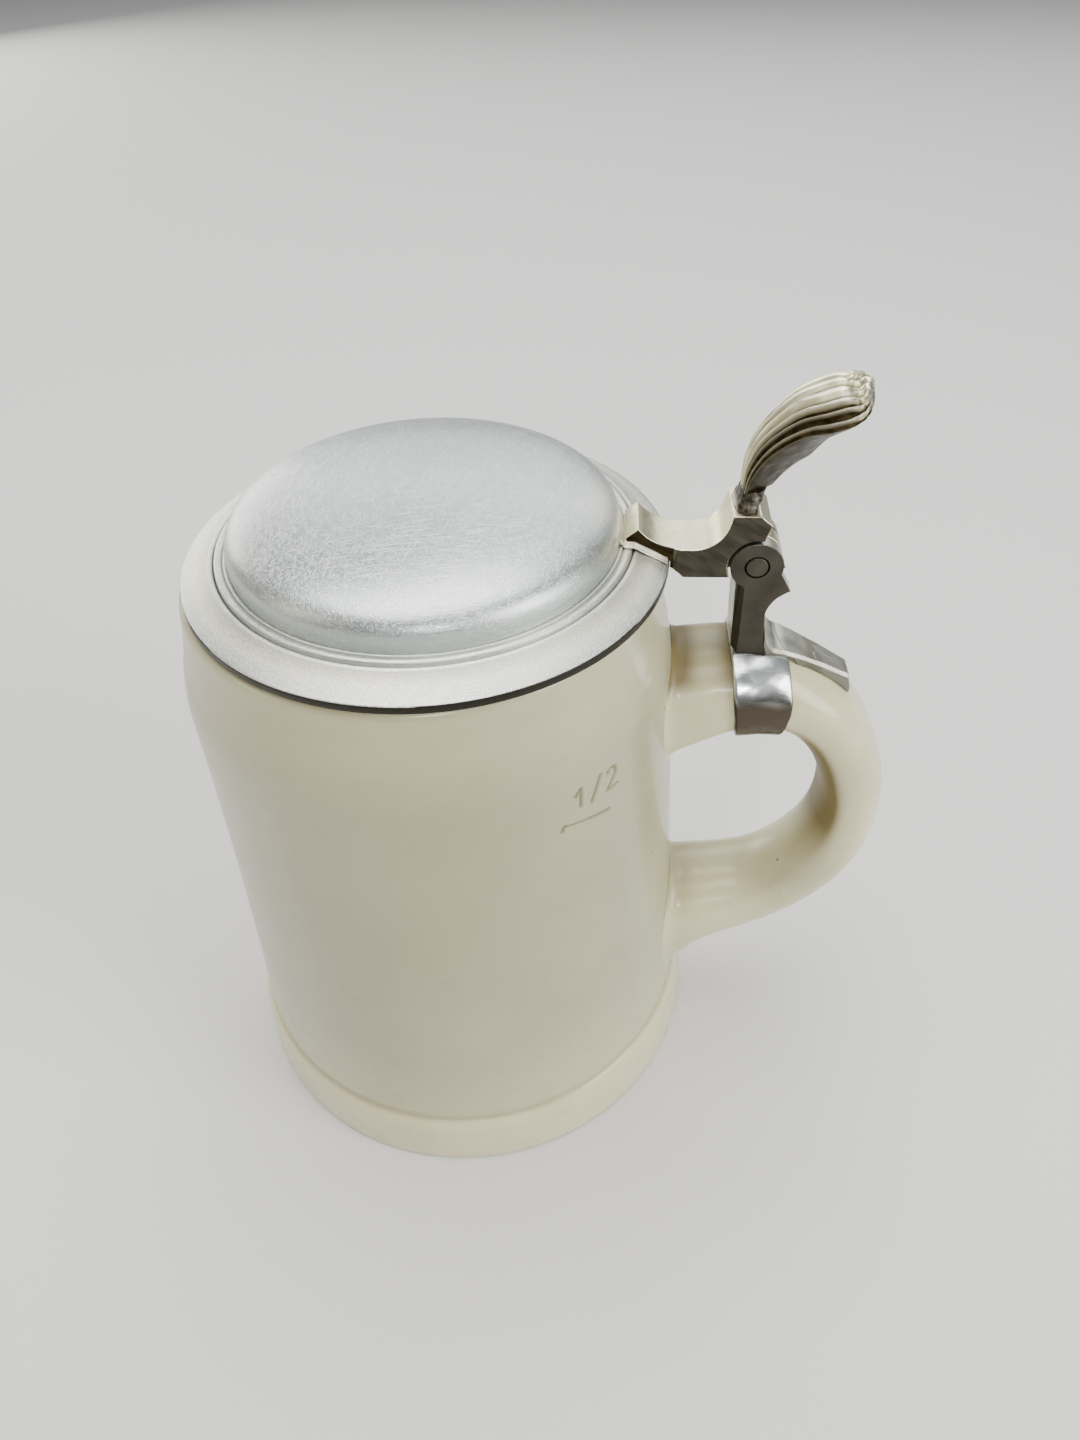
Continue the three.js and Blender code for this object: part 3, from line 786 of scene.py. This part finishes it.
def band():
    """A strip that hugs the handle; its two edges lean the same way."""
    edge = outline(
        (0, BAND_GAP), ((0.5, 0.13),), ((1, BAND_GAP),),
        ((1, BAND_THICK), (0.93, BAND_THICK), 5),
        ((0.5, BAND_THICK + BAND_CROWN), (0.07, BAND_THICK), 16),
        ((0, BAND_THICK), (0, BAND_GAP), 5),
    )[:-1]
    turns = full_turn(BAND_STEPS_AROUND)
    rings = []
    for turn, low in zip(turns, (1 - np.cos(turns)) / 2):
        end = BAND_END_TOP + (BAND_END_BOTTOM - BAND_END_TOP) * low
        station = BAND_START + (end - BAND_START) * edge[:, 0]
        bare = handle_point(station, np.full(len(station), turn))
        proud = handle_point(station, np.full(len(station), turn), 1.0)
        rings.append(bare + (proud - bare) * edge[:, 1:])
    obj = loft("handle_band_strip", rings, closed=True, sharp_degrees=50)
    points = points_of(obj)
    normals = normals_of(obj)
    lift = 0.07 * waves(points * [0.55, 1, 1], 5.5, 21) + 0.04 * waves(points, 2.6, 22)
    points += normals * lift[:, None]
    move_points(obj, points)
    # darker towards the bottom of the band
    darker_below = 1 - rise(points[:, 2] + 0.6 * waves(points, 7, 24), 100.5, 105)
    # painted shade along the band's left edge
    left_edge_shade = 1 - rise(points[:, 0] + 0.1 * (points[:, 2] - 98.6), 56.0, 56.7)
    point_value(obj, "dirt_and_shade", np.clip(0.97 * darker_below + 0.6 * left_edge_shade, 0, 1))
    return piece(obj, "mug", BAND_METAL, "polished_band", "handle_band")


# ---------------------------------------------------------------- hinge post, pin and strap

RING_RADIUS = 4.6
HINGE_HALF = 5.2
KNUCKLE_HALF = 1.95
CHEEK_INNER = 2.2
POST_FRONT = 55.35
SLOT_FLOOR = 122
PIN_ROUNDING = 0.35


def arc(x, z, radius, start, end, steps):
    turn = np.linspace(start, end, steps)
    return [(x + radius * math.cos(a), z + radius * math.sin(a)) for a in turn]


def post_outline():
    foot = POST_BOTTOM + 0.3
    back = outline((61.7, foot), ((60.9, 110),), ((60.5, 117.4),), ((61.2, 120.8), (64.35, 122.2), 12))
    return [(POST_FRONT, foot), *back, *arc(PIN_X, PIN_Z, RING_RADIUS, -0.31, math.pi + 0.83, 70)]


def hinge_post():
    obj = slab("hinge_post_fork", post_outline(), -HINGE_HALF, HINGE_HALF)
    slot = [(50, SLOT_FLOOR), (70, SLOT_FLOOR), (70, 134), (50, 134)]
    combine(obj, slab("slot", slot, -CHEEK_INNER, CHEEK_INNER), "DIFFERENCE")
    hole = bar_along_y("hole", PIN_X, PIN_Z, PIN_RADIUS + 0.12, -HINGE_HALF - 1, HINGE_HALF + 1)
    combine(obj, hole, "DIFFERENCE")
    near_front = [
        (POST_FRONT - 3, -HINGE_HALF - 1), (POST_FRONT + 0.85, -HINGE_HALF - 1),
        (POST_FRONT + 0.85, -HINGE_HALF), (POST_FRONT, -HINGE_HALF + 2.2),
        (POST_FRONT - 3, -HINGE_HALF + 2.2),
    ]
    levels = (POST_BOTTOM - 1, PIN_Z)
    chamfer = loft("chamfer", [[(x, y, z) for x, y in near_front] for z in levels])
    cheek = bar_along_y("cheek", PIN_X, PIN_Z, RING_RADIUS, -HINGE_HALF - 2, HINGE_HALF)
    combine(chamfer, cheek, "DIFFERENCE")
    combine(obj, chamfer, "DIFFERENCE")
    cast(obj, 0.13, 2)
    points = points_of(obj)
    normals = normals_of(obj)
    side = abs(normals[:, 1])
    # the lighter colour on the narrow faces is partly painted light; the broad sides stay dark as painted
    # shade
    point_value(obj, "light", np.clip(1 - 1.4 * side, 0, 1) * 0.8)
    ring = np.hypot(points[:, 0] - PIN_X, points[:, 2] - PIN_Z)
    slot_floor_shade = (abs(points[:, 1]) < CHEEK_INNER + 0.1) & (points[:, 2] > SLOT_FLOOR - 0.5)
    foot = 1 - rise(points[:, 2], POST_BOTTOM + 0.4, POST_BOTTOM + 1.4)
    chamfer_shade = (normals[:, 0] < -0.7) & (points[:, 1] < -HINGE_HALF + 2.4) & (ring > RING_RADIUS + 0.1)
    # painted shade round the pin, on the slot's floor, at the post's foot and on the near chamfer
    dirt_and_shade = (ring < PIN_RADIUS + 0.24) + 0.7 * slot_floor_shade + 0.6 * foot + 0.85 * chamfer_shade
    point_value(obj, "dirt_and_shade", np.clip(dirt_and_shade, 0, 1))
    return piece(obj, "mug", DARK, "dark_pewter", "hinge_post")


def hinge_pin():
    half = (PIN_HIGH[1] - PIN_LOW[1]) / 2
    flat = PIN_RADIUS - PIN_ROUNDING
    profile = outline(
        (0, -half), ((flat, -half),), ((PIN_RADIUS, -half), (PIN_RADIUS, -half + PIN_ROUNDING), 5),
        ((PIN_RADIUS, half - PIN_ROUNDING),), ((PIN_RADIUS, half), (flat, half), 5), ((0, half),),
    )
    obj = lathe("hinge_pin_rod", profile, full_turn(64))
    obj.data.transform(Matrix.Translation((PIN_X * MM, 0, PIN_Z * MM)) @ Matrix.Rotation(math.pi / 2, 4, "X"))
    fix_normals(obj)
    points = points_of(obj)
    point_value(obj, "light", np.zeros(len(points)))
    # painted shade along the pin's length, which sits in the hole; its ends stay clean
    point_value(obj, "dirt_and_shade", 0.5 * (abs(points[:, 1]) < half - 0.1))
    return piece(obj, "mug", DARK, "dark_pewter", "hinge_pin")


def handle_top(x):
    """Height of the handle's outer skin, on its middle line, at x."""
    stations = np.linspace(1.5, 7, 400)
    skin = handle_point(stations, np.zeros(400))
    return np.interp(x, skin[:, 0], skin[:, 2])


# The strap's top from the post to its tail (x, z) and its half width there.
STRAP_LINE = np.array([
    (60.9, 113.8, 5.2), (61.6, 111.1, 5.2), (63.2, 109.0, 5.0), (65.8, 108.1, 4.6), (69.6, 106.3, 4.0),
    (74.0, 103.9, 3.5), (78.3, 101.4, 2.9),
])
STRAP_TAIL = (78.95, 99.0, 2.7)
STRAP_NEAR_BEVEL = 0.7
STRAP_FAR_BEVEL = 0.9


def tail_strap():
    """A hand-filed bar that falls from the post's back in a hollow curve and runs down the handle."""
    line = spline(STRAP_LINE, np.linspace(0, len(STRAP_LINE) - 1, 60))
    rings = []
    for x, z, half in [*line, STRAP_TAIL]:
        low = min(handle_top(x) - 2.2, z - 1.2)
        rings.append([
            (x, -half, low), (x, -half, z - STRAP_NEAR_BEVEL), (x, -half + STRAP_NEAR_BEVEL, z),
            (x, half - STRAP_FAR_BEVEL, z), (x, half, z - STRAP_FAR_BEVEL), (x, half, low),
        ])
    obj = loft("tail_strap_bar", rings)
    post_room = [(x + 0.1, z) for x, z in post_outline()]
    combine(obj, slab("post_room", post_room, -HINGE_HALF - 1, HINGE_HALF + 1), "DIFFERENCE")
    combine(obj, handle_room(0.12), "DIFFERENCE")
    cast(obj, 0.13, 2)
    points = points_of(obj)
    normals = normals_of(obj)
    flats = rise(normals[:, 2], 0.5, 0.9) * (0.5 + 0.5 * np.sign(waves(points * [1, 0.5, 0], 6.5, 33)))
    points += normals * (0.06 * waves(points, 7, 31) - 0.06 * flats)[:, None]
    move_points(obj, points)
    normals = normals_of(obj)
    # painted shade on the near side
    side = rise(-normals[:, 1], 0.45, 0.85)
    half = np.interp(points[:, 0], STRAP_LINE[:, 0], STRAP_LINE[:, 2])
    # painted highlight along the far edge
    far_edge_highlight = rise(points[:, 1] - half, -1.2, -0.6)
    point_value(obj, "light", np.clip(0.9 + 0.4 * far_edge_highlight - 0.5 * side, 0, 1))
    point_value(obj, "dirt_and_shade", 0.25 * side)
    return piece(obj, "mug", DARK, "dark_pewter", "tail_strap")


def handle_room(grow):
    """The space that the handle and its band take under the strap."""
    turns = full_turn(48)
    stations = np.linspace(1.6, 7, 60)
    on_band = BAND_THICK * rise(stations, BAND_START - 0.05, BAND_START) * (1 - rise(stations, 3.3, 3.42))
    rings = [handle_point(np.full(48, s), turns, grow + b) for s, b in zip(stations, on_band)]
    obj = loft("handle_room", rings)
    return obj


# ---------------------------------------------------------------- lid

DOME_RADIUS = 34.5
DOME_BASE = 130.9
DOME_HEIGHT = min(10.1, LID_TOP - DOME_BASE)
DOME_SIDE_POWER = 1.4
DOME_CROWN_POWER = 0.495
GROOVE_RADIUS = 37.2
FLANGE_TOP = 127.9
LID_SHEET = 1.7
LID_AROUND = 192
# Grooves where dirt gathers: radius, width and strength.
LID_VALLEYS = ((36.95, 0.16, 1), (35.27, 0.12, 0.45), (34.55, 0.12, 0.25), (38.15, 0.1, 0.25))


def dome(radius, base, height, steps):
    """A crowned dome, tighter at its shoulder, from the axis down to its base."""
    turn = np.linspace(math.pi / 2, 0, steps)
    r = radius * np.cos(turn).clip(0) ** DOME_SIDE_POWER
    z = base + height * np.sin(turn) ** DOME_CROWN_POWER
    r[0] = 0
    return list(zip(r, z))


def bead(start, end, base, height, steps=8):
    turn = np.linspace(0, math.pi, steps)
    return [(start + (end - start) * (1 - math.cos(a)) / 2, base + height * math.sin(a)) for a in turn]


def lid():
    over = dome(DOME_RADIUS, DOME_BASE, DOME_HEIGHT, 90)
    beads = bead(34.6, 35.25, DOME_BASE - 0.15, 0.30) + bead(35.35, 36.75, DOME_BASE - 0.2, 0.38, 12)
    flange = outline(
        (36.8, 130.25), ((36.95, 130.15),), ((37.1, 130.35),), ((37.25, 130.6), (37.6, 130.55), 4),
        ((38.1, 130.3),), ((38.2, 130.2),), ((40.5, 129.25),), ((FLANGE_RADIUS - 0.35, FLANGE_TOP),),
        ((FLANGE_RADIUS, FLANGE_TOP - 0.1), (FLANGE_RADIUS, FLANGE_TOP - 0.35), 4),
        ((FLANGE_RADIUS, FLANGE_BOTTOM + 0.2),), ((FLANGE_RADIUS - 0.2, FLANGE_BOTTOM),),
        ((39.7, FLANGE_BOTTOM),), ((38.9, FLANGE_BOTTOM), (38.4, 126.9), 4), ((36.6, 128.9),),
    )
    under = dome(DOME_RADIUS - LID_SHEET, DOME_BASE - 0.8, DOME_HEIGHT - LID_SHEET + 0.8, 40)[::-1]
    profile = np.array([*over, *beads, *flange, *under])
    obj = lathe("domed_lid", profile, full_turn(LID_AROUND), sharp_degrees=60)
    fix_normals(obj)
    points = points_of(obj)
    radius = np.hypot(points[:, 0], points[:, 1])
    crown = (1 - rise(radius, 26, 33)) * 0.08
    edge = rise(radius, 38, 42) * 0.05
    points[:, 2] += (crown + edge) * (waves(points * [1, 1, 0], 26, 12) - 0.9)
    move_points(obj, points)
    normals = normals_of(obj)
    top = points[:, 2] > 127.95
    flange_face = rise(radius, 37.3, 38.2) * top
    # painted shade and reflection: the flange's outer edge is painted dark
    shaded_outer_edge = (radius > FLANGE_RADIUS - 0.12) * (points[:, 2] < FLANGE_TOP - 0.2)
    valley = np.zeros(len(points))
    for place, width, strength in LID_VALLEYS:
        valley += strength * np.exp(-(((radius - place) / width) ** 2))
    # dirt in the grooves, plus painted shade on the outer edge and on faces that look down
    dirt_and_shade = 0.9 * valley * (points[:, 2] > 129.9) + shaded_outer_edge + 0.25 * (normals[:, 2] < -0.1)
    by_arm = np.hypot(points[:, 0] - 37, points[:, 1] * 0.8)
    patina = 0.8 * (1 - rise(by_arm, 2, 13)) * (points[:, 2] > 128)
    beads_and_shoulder = 0.35 * rise(radius, 34.4, 34.7) * (1 - flange_face)
    point_value(obj, "matte", np.clip(flange_face + patina + beads_and_shoulder, 0, 1))
    point_value(obj, "dirt_and_shade", np.clip(dirt_and_shade, 0, 1))
    return piece(obj, "lid_assembly", LID_METAL, "lid_pewter", "lid")


# ---------------------------------------------------------------- lid arm

ARM_HALF = 5.0
BLOCK_TOP = 137.1


def arm_outline():
    return outline(
        (35.4, 131.5), ((44.3, 126.0),), ((45.4, 124.9),), ((53.4, 124.9),), ((PIN_X, PIN_Z),), ((59, 133),),
        ((59.8, 135.3),), ((57.8, BLOCK_TOP),), ((53, BLOCK_TOP),),
        ((52.2, 130.6), (46.4, 130.5), 26), ((40.2, 130.6), (37.4, 134.4), 20), ((35.2, 132.7),),
    )


def lid_arm():
    obj = slab("lid_arm_casting", arm_outline(), -ARM_HALF, ARM_HALF)
    room = RING_RADIUS + 0.5
    combine(obj, bar_along_y("near", PIN_X, PIN_Z, room, -ARM_HALF - 1, -KNUCKLE_HALF), "DIFFERENCE")
    combine(obj, bar_along_y("far", PIN_X, PIN_Z, room, KNUCKLE_HALF, ARM_HALF + 1), "DIFFERENCE")
    combine(obj, bar_along_y("knuckle", PIN_X, PIN_Z, RING_RADIUS, -KNUCKLE_HALF, KNUCKLE_HALF), "UNION")
    combine(obj, bar_along_y("hole", PIN_X, PIN_Z, PIN_RADIUS + 0.2, -ARM_HALF, ARM_HALF), "DIFFERENCE")
    combine(obj, lid_space(0.12), "DIFFERENCE")
    cast(obj, 0.14, 3)
    points = points_of(obj)
    root = 1 - rise(points[:, 0], 43.2, 44.2)
    points[:, 1] *= 1 - 0.07 * root
    move_points(obj, points)
    normals = normals_of(obj)
    # painted shade on the arm's sides, rear and underside, through the side colour
    side = rise(abs(normals[:, 1]), 0.75, 0.95)
    rear = rise(normals[:, 0], 0.4, 0.8) * rise(points[:, 0], 56, 58)
    below = rise(-normals[:, 2], 0.3, 0.7)
    rim = rise(-points[:, 1], ARM_HALF - 0.5, ARM_HALF - 0.2) * (1 - side) * (points[:, 0] < 53)
    point_value(obj, "side", np.clip(side + 0.3 * rear + below, 0, 1))
    point_value(obj, "ridge", np.clip(0.25 * rise(normals[:, 2], 0.2, 0.8) + 0.8 * rim, 0, 1))
    # dirt and painted shade on the root's sides and underside
    point_value(obj, "dirt_and_shade", np.clip(root * side * 0.95 + 0.6 * root * below, 0, 1))
    return piece(obj, "lid_assembly", AGED, "aged_pewter", "lid_arm")


def lid_space(grow):
    """The space that the lid's top takes near the arm, level over its beads."""
    bead_top = DOME_BASE + 0.3
    profile = np.array([
        *dome(DOME_RADIUS + grow, bead_top + grow, DOME_BASE + DOME_HEIGHT - bead_top, 40),
        (GROOVE_RADIUS + grow, bead_top + grow), (FLANGE_RADIUS + grow, FLANGE_TOP + grow),
        (FLANGE_RADIUS + grow, 110), (0, 110),
    ])
    obj = lathe("lid_space", profile, full_turn(LID_AROUND))
    fix_normals(obj)
    return obj


def lid_surface(radius):
    """Height of the lid's top from the crown's foot outwards."""
    radii = [DOME_RADIUS, DOME_RADIUS + 0.2, GROOVE_RADIUS, FLANGE_RADIUS]
    return np.interp(radius, radii, [DOME_BASE + 0.9, DOME_BASE + 0.3, DOME_BASE + 0.3, FLANGE_TOP])


# The fillet's section: how far out from the arm's side, and how far above the lid.
FILLET = ((-0.25, 0.02), (-0.25, 0.85), (0.15, 0.7), (0.5, 0.42), (0.85, 0.2), (1.1, 0.02))


def arm_solder():
    """A thin fillet that follows three sides of the arm's root over the beads and the flange."""
    half = ARM_HALF * 0.93 + 0.02
    near = [(x, -half) for x in np.linspace(42.6, 35.6, 26)]
    front = [(35.15, y) for y in np.linspace(-half + 0.3, half - 0.3, 22)]
    far = [(x, half) for x in np.linspace(35.6, 42.6, 26)]
    path = np.array(near + front + far)
    along = np.gradient(path, axis=0)
    along /= np.linalg.norm(along, axis=1)[:, None]
    outward = np.stack([-along[:, 1], along[:, 0]], 1)
    outward *= np.sign((outward * (path - [40, 0])).sum(1))[:, None]
    rings = []
    for (x, y), (ox, oy) in zip(path, outward):
        ring = []
        for out, up in FILLET:
            px, py = x + ox * out, y + oy * out
            ring.append((px, py, lid_surface(math.hypot(px, py)) + up))
        rings.append(ring)
    obj = loft("arm_solder_fillet", rings)
    cast(obj, 0.1, 3)
    points = points_of(obj)
    points += normals_of(obj) * (0.05 * waves(points, 2.6, 41))[:, None]
    move_points(obj, points)
    by_edge = rise(np.hypot(points[:, 0], points[:, 1]), 41, 43)
    point_value(obj, "light", 0.8 - 0.5 * by_edge)
    return piece(obj, "lid_assembly", SOLDER, "solder", "lid_arm_solder")


# ---------------------------------------------------------------- thumb lift

# Edge line x and z, the leaf's direction, half width, depth of the back keel, crown of the front,
# how far the middle sways to one side, and how far the edges run ahead of each other.
LEAF = np.array([
    (54.7, 140.4, 90, 3.4, 4.6, 0.3, 0.0, 0.0),
    (55.3, 144.0, 74, 4.2, 5.6, 0.5, 0.1, 0.0),
    (57.0, 147.7, 60, 4.9, 6.3, 0.8, 0.4, 0.0),
    (59.6, 150.9, 47, 6.2, 6.9, 1.0, 0.4, 0.0),
    (62.8, 153.4, 35, 7.9, 6.4, 1.2, 0.1, 0.0),
    (66.2, 155.0, 27, 9.4, 5.0, 1.3, 0.6, 0.1),
    (69.4, 156.3, 24, 9.2, 3.4, 1.3, 1.1, 0.3),
    (71.8, 157.3, 24, 7.3, 2.4, 0.7, 1.0, 0.6),
    (73.0, 157.7, 24, 4.1, 1.6, 0.2, 0.7, 0.8),
])
RIDGES = 7
FRONT_STEPS, BACK_STEPS, LEAF_STEPS = 180, 60, 170


def thumb_lift():
    """A leaf with ridges that fan out from its neck, run through a dip and over a rolled lip."""
    across_front = -1 + 2 * np.arange(FRONT_STEPS) / FRONT_STEPS
    across_back = 1 - 2 * np.arange(BACK_STEPS) / BACK_STEPS
    across = np.concatenate([across_front, across_back])
    # The ridges crowd towards the near edge, where the leaf turns under.
    phase = (across_front + 1) * 0.5 + 0.05 * np.sin(math.pi * (across_front + 1))
    wave = 0.5 - 0.5 * np.cos(phase * RIDGES * 2 * math.pi)
    ridge_line = wave ** 1.3
    body = 1 - abs(across_front) ** 6
    hump = 1 - across_front ** 2
    rings, ridges, dirt_and_shade_rows, dips = [], [], [], []
    for t in np.linspace(0, 1, LEAF_STEPS):
        x, z, degrees, width, keel, crown, sway, skew = spline(LEAF, t * (len(LEAF) - 1))[0]
        lean = math.radians(degrees)
        lip = math.exp(-(((t - 0.94) / 0.045) ** 2))
        dip = math.exp(-(((t - 0.82) / 0.06) ** 2))
        depth = 0.8 * float(rise(t, 0.0, 0.35)) * (1 - 0.45 * dip) * (1 - 0.55 * lip) + 0.12
        close = math.sqrt(max(0.02, 1 - (max(t - 0.94, 0) / 0.06) ** 2))
        out_front = crown * hump + (0.3 * lip - 0.75 * dip) * hump ** 1.5 + depth * ridge_line * body
        out_back = -keel * (1 - abs(across_back)) ** 0.8 - 0.3 * (1 - across_back ** 2)
        out_front, out_back = out_front * close, out_back * close
        out = np.concatenate([out_front, out_back])
        rings.append(np.stack([
            x - out * math.sin(lean) + across * skew, across * width - sway, z + out * math.cos(lean),
        ], 1))
        worn = np.clip(ridge_line ** 2 * 0.7 * (1 - dip) + 0.9 * lip, 0, 1)
        ridges.append(np.concatenate([worn, np.zeros(BACK_STEPS)]))
        grime = (1 - wave) ** 1.25 * (1 - 0.6 * lip) * (1 - 0.3 * t)
        # painted shade where the near part of the leaf turns under
        turned_under_shade = 0.75 * rise(-across_front, 0.2, 0.7) * (1 - lip) * (1 - 0.5 * dip)
        # the back of the leaf is painted darker, as shade
        dirt_and_shade_rows.append(np.concatenate([grime + turned_under_shade, np.full(BACK_STEPS, 0.55)]))
        dips.append(np.full(FRONT_STEPS + BACK_STEPS, dip))
    obj = loft("fluted_thumb_lift", rings)
    caps = np.zeros(2)
    ridge, dirt_and_shade, dip = (np.concatenate([np.array(v).ravel(), caps]) for v in (ridges, dirt_and_shade_rows, dips))
    points = points_of(obj)
    rough = 0.05 * waves(points, 3.2, 51) + 0.12 * dip * waves(points, 1.3, 52)
    points += normals_of(obj) * rough[:, None]
    points[:, 2] = np.minimum(points[:, 2], LEAF_TOP - INSIDE_BOX)
    move_points(obj, points)
    no_front = np.zeros(FRONT_STEPS)
    # painted highlight: a bright line along the keel of the back
    keel_highlight_profile = np.exp(-((across_back / 0.05) ** 2))
    back = np.concatenate([np.tile([*no_front, *np.ones(BACK_STEPS)], LEAF_STEPS), caps])
    keel_highlight = np.concatenate([np.tile([*no_front, *keel_highlight_profile], LEAF_STEPS), caps])
    point_value(obj, "ridge", np.clip(ridge + keel_highlight, 0, 1))
    point_value(obj, "dirt_and_shade", np.clip(dirt_and_shade * (1 - keel_highlight), 0, 1))
    # painted shade on the back, through the side colour
    point_value(obj, "side", back * (1 - keel_highlight))
    return piece(obj, "lid_assembly", AGED, "aged_pewter", "thumb_lift")


LUMP_STEPS, LUMP_AROUND = 40, 64
LUMP_HEIGHT = 3.6


def thumb_solder():
    """The lump of solder between the arm's flat block and the leaf's neck."""
    up, side = oval(full_turn(LUMP_AROUND))
    rings = []
    for i in range(LUMP_STEPS):
        t = i / (LUMP_STEPS - 1)
        z = BLOCK_TOP + 0.05 + t * LUMP_HEIGHT
        x = 55.45 + 1.1 * t
        along = 2.25 * (1 - 0.12 * t)
        across = 4.5 - 1.15 * float(rise(t, 0.0, 0.9))
        rings.append(np.stack([x - along * up, -across * side, np.full(LUMP_AROUND, z)], 1))
    obj = loft("thumb_solder_lump", rings)
    cast(obj, 0.12, 2)
    points = points_of(obj)
    lump = 0.16 * waves(points, 2.4, 61) + 0.08 * waves(points, 1.1, 62)
    points += normals_of(obj) * lump[:, None]
    points[:, 2] = np.maximum(points[:, 2], BLOCK_TOP + 0.02)
    move_points(obj, points)
    front_edge = rise(-points[:, 0], -53.9, -53.4)
    point_value(obj, "light", 0.6 * front_edge)
    return piece(obj, "lid_assembly", SOLDER, "solder", "thumb_lift_solder")


mug()
handle()
band()
hinge_post()
hinge_pin()
tail_strap()
lid()
lid_arm()
arm_solder()
thumb_lift()
thumb_solder()

# ---------------------------------------------------------------- camera, floor and light

CAMERA_PLACE = (0.0315, -0.1580, 0.2309)
CAMERA_PITCH = 42.41
CAMERA_TURN = 4.5
CAMERA_ROLL = -2.18
CAMERA_LENS = 26.25


def camera():
    data = bpy.data.cameras.new("camera")
    data.lens = CAMERA_LENS
    data.sensor_width = 36
    data.clip_start, data.clip_end = 0.01, 20
    obj = new_object("camera", data)
    obj.location = CAMERA_PLACE
    aim = (
        Matrix.Rotation(math.radians(CAMERA_TURN), 4, "Z")
        @ Matrix.Rotation(math.radians(90 - CAMERA_PITCH), 4, "X")
        @ Matrix.Rotation(math.radians(CAMERA_ROLL), 4, "Z")
    )
    obj.rotation_euler = aim.to_euler()
    bpy.context.scene.camera = obj


def floor():
    mesh = bpy.data.meshes.new("floor")
    mesh.from_pydata([(-3, -3, 0), (3, -3, 0), (3, 3, 0), (-3, 3, 0)], [], [(0, 1, 2, 3)])
    obj = new_object("floor", mesh)
    material, tree = new_material("floor")
    feed(tree, "Base Color", (0.72, 0.71, 0.69, 1))
    feed(tree, "Roughness", 0.8)
    mesh.materials.append(material)


def soft_light(name, place, target, size, watts, colour=(1, 1, 1)):
    data = bpy.data.lights.new(name, "AREA")
    data.shape = "RECTANGLE"
    data.size, data.size_y = size
    data.energy = watts
    data.color = colour
    obj = new_object(name, data)
    obj.location = place
    toward = np.array(target) - np.array(place)
    obj.rotation_euler = Vector(toward).to_track_quat("-Z", "Y").to_euler()


def studio():
    world = bpy.data.worlds.new("studio")
    bpy.context.scene.world = world
    world.use_nodes = True
    background = world.node_tree.nodes["Background"]
    background.inputs["Color"].default_value = (0.95, 0.97, 1.0, 1)
    background.inputs["Strength"].default_value = 0.27
    middle = (0.02, 0, 0.08)
    soft_light("overhead", (-0.05, 0.1, 1.0), middle, (0.9, 0.7), 11)
    soft_light("back", (0.1, 1.1, 0.75), middle, (1.4, 0.5), 6, (0.95, 0.98, 1))
    soft_light("right", (0.85, -0.4, 0.5), middle, (0.5, 0.8), 10)
    soft_light("left", (-0.8, -0.35, 0.5), middle, (0.4, 0.6), 1.5, (1, 0.9, 0.76))
    soft_light("back_left", (-0.95, 1.0, 0.4), middle, (0.9, 0.6), 8, (1, 0.98, 0.94))
    soft_light("front", (0.15, -0.95, 0.65), middle, (0.25, 0.12), 3.5)


camera()
floor()
studio()
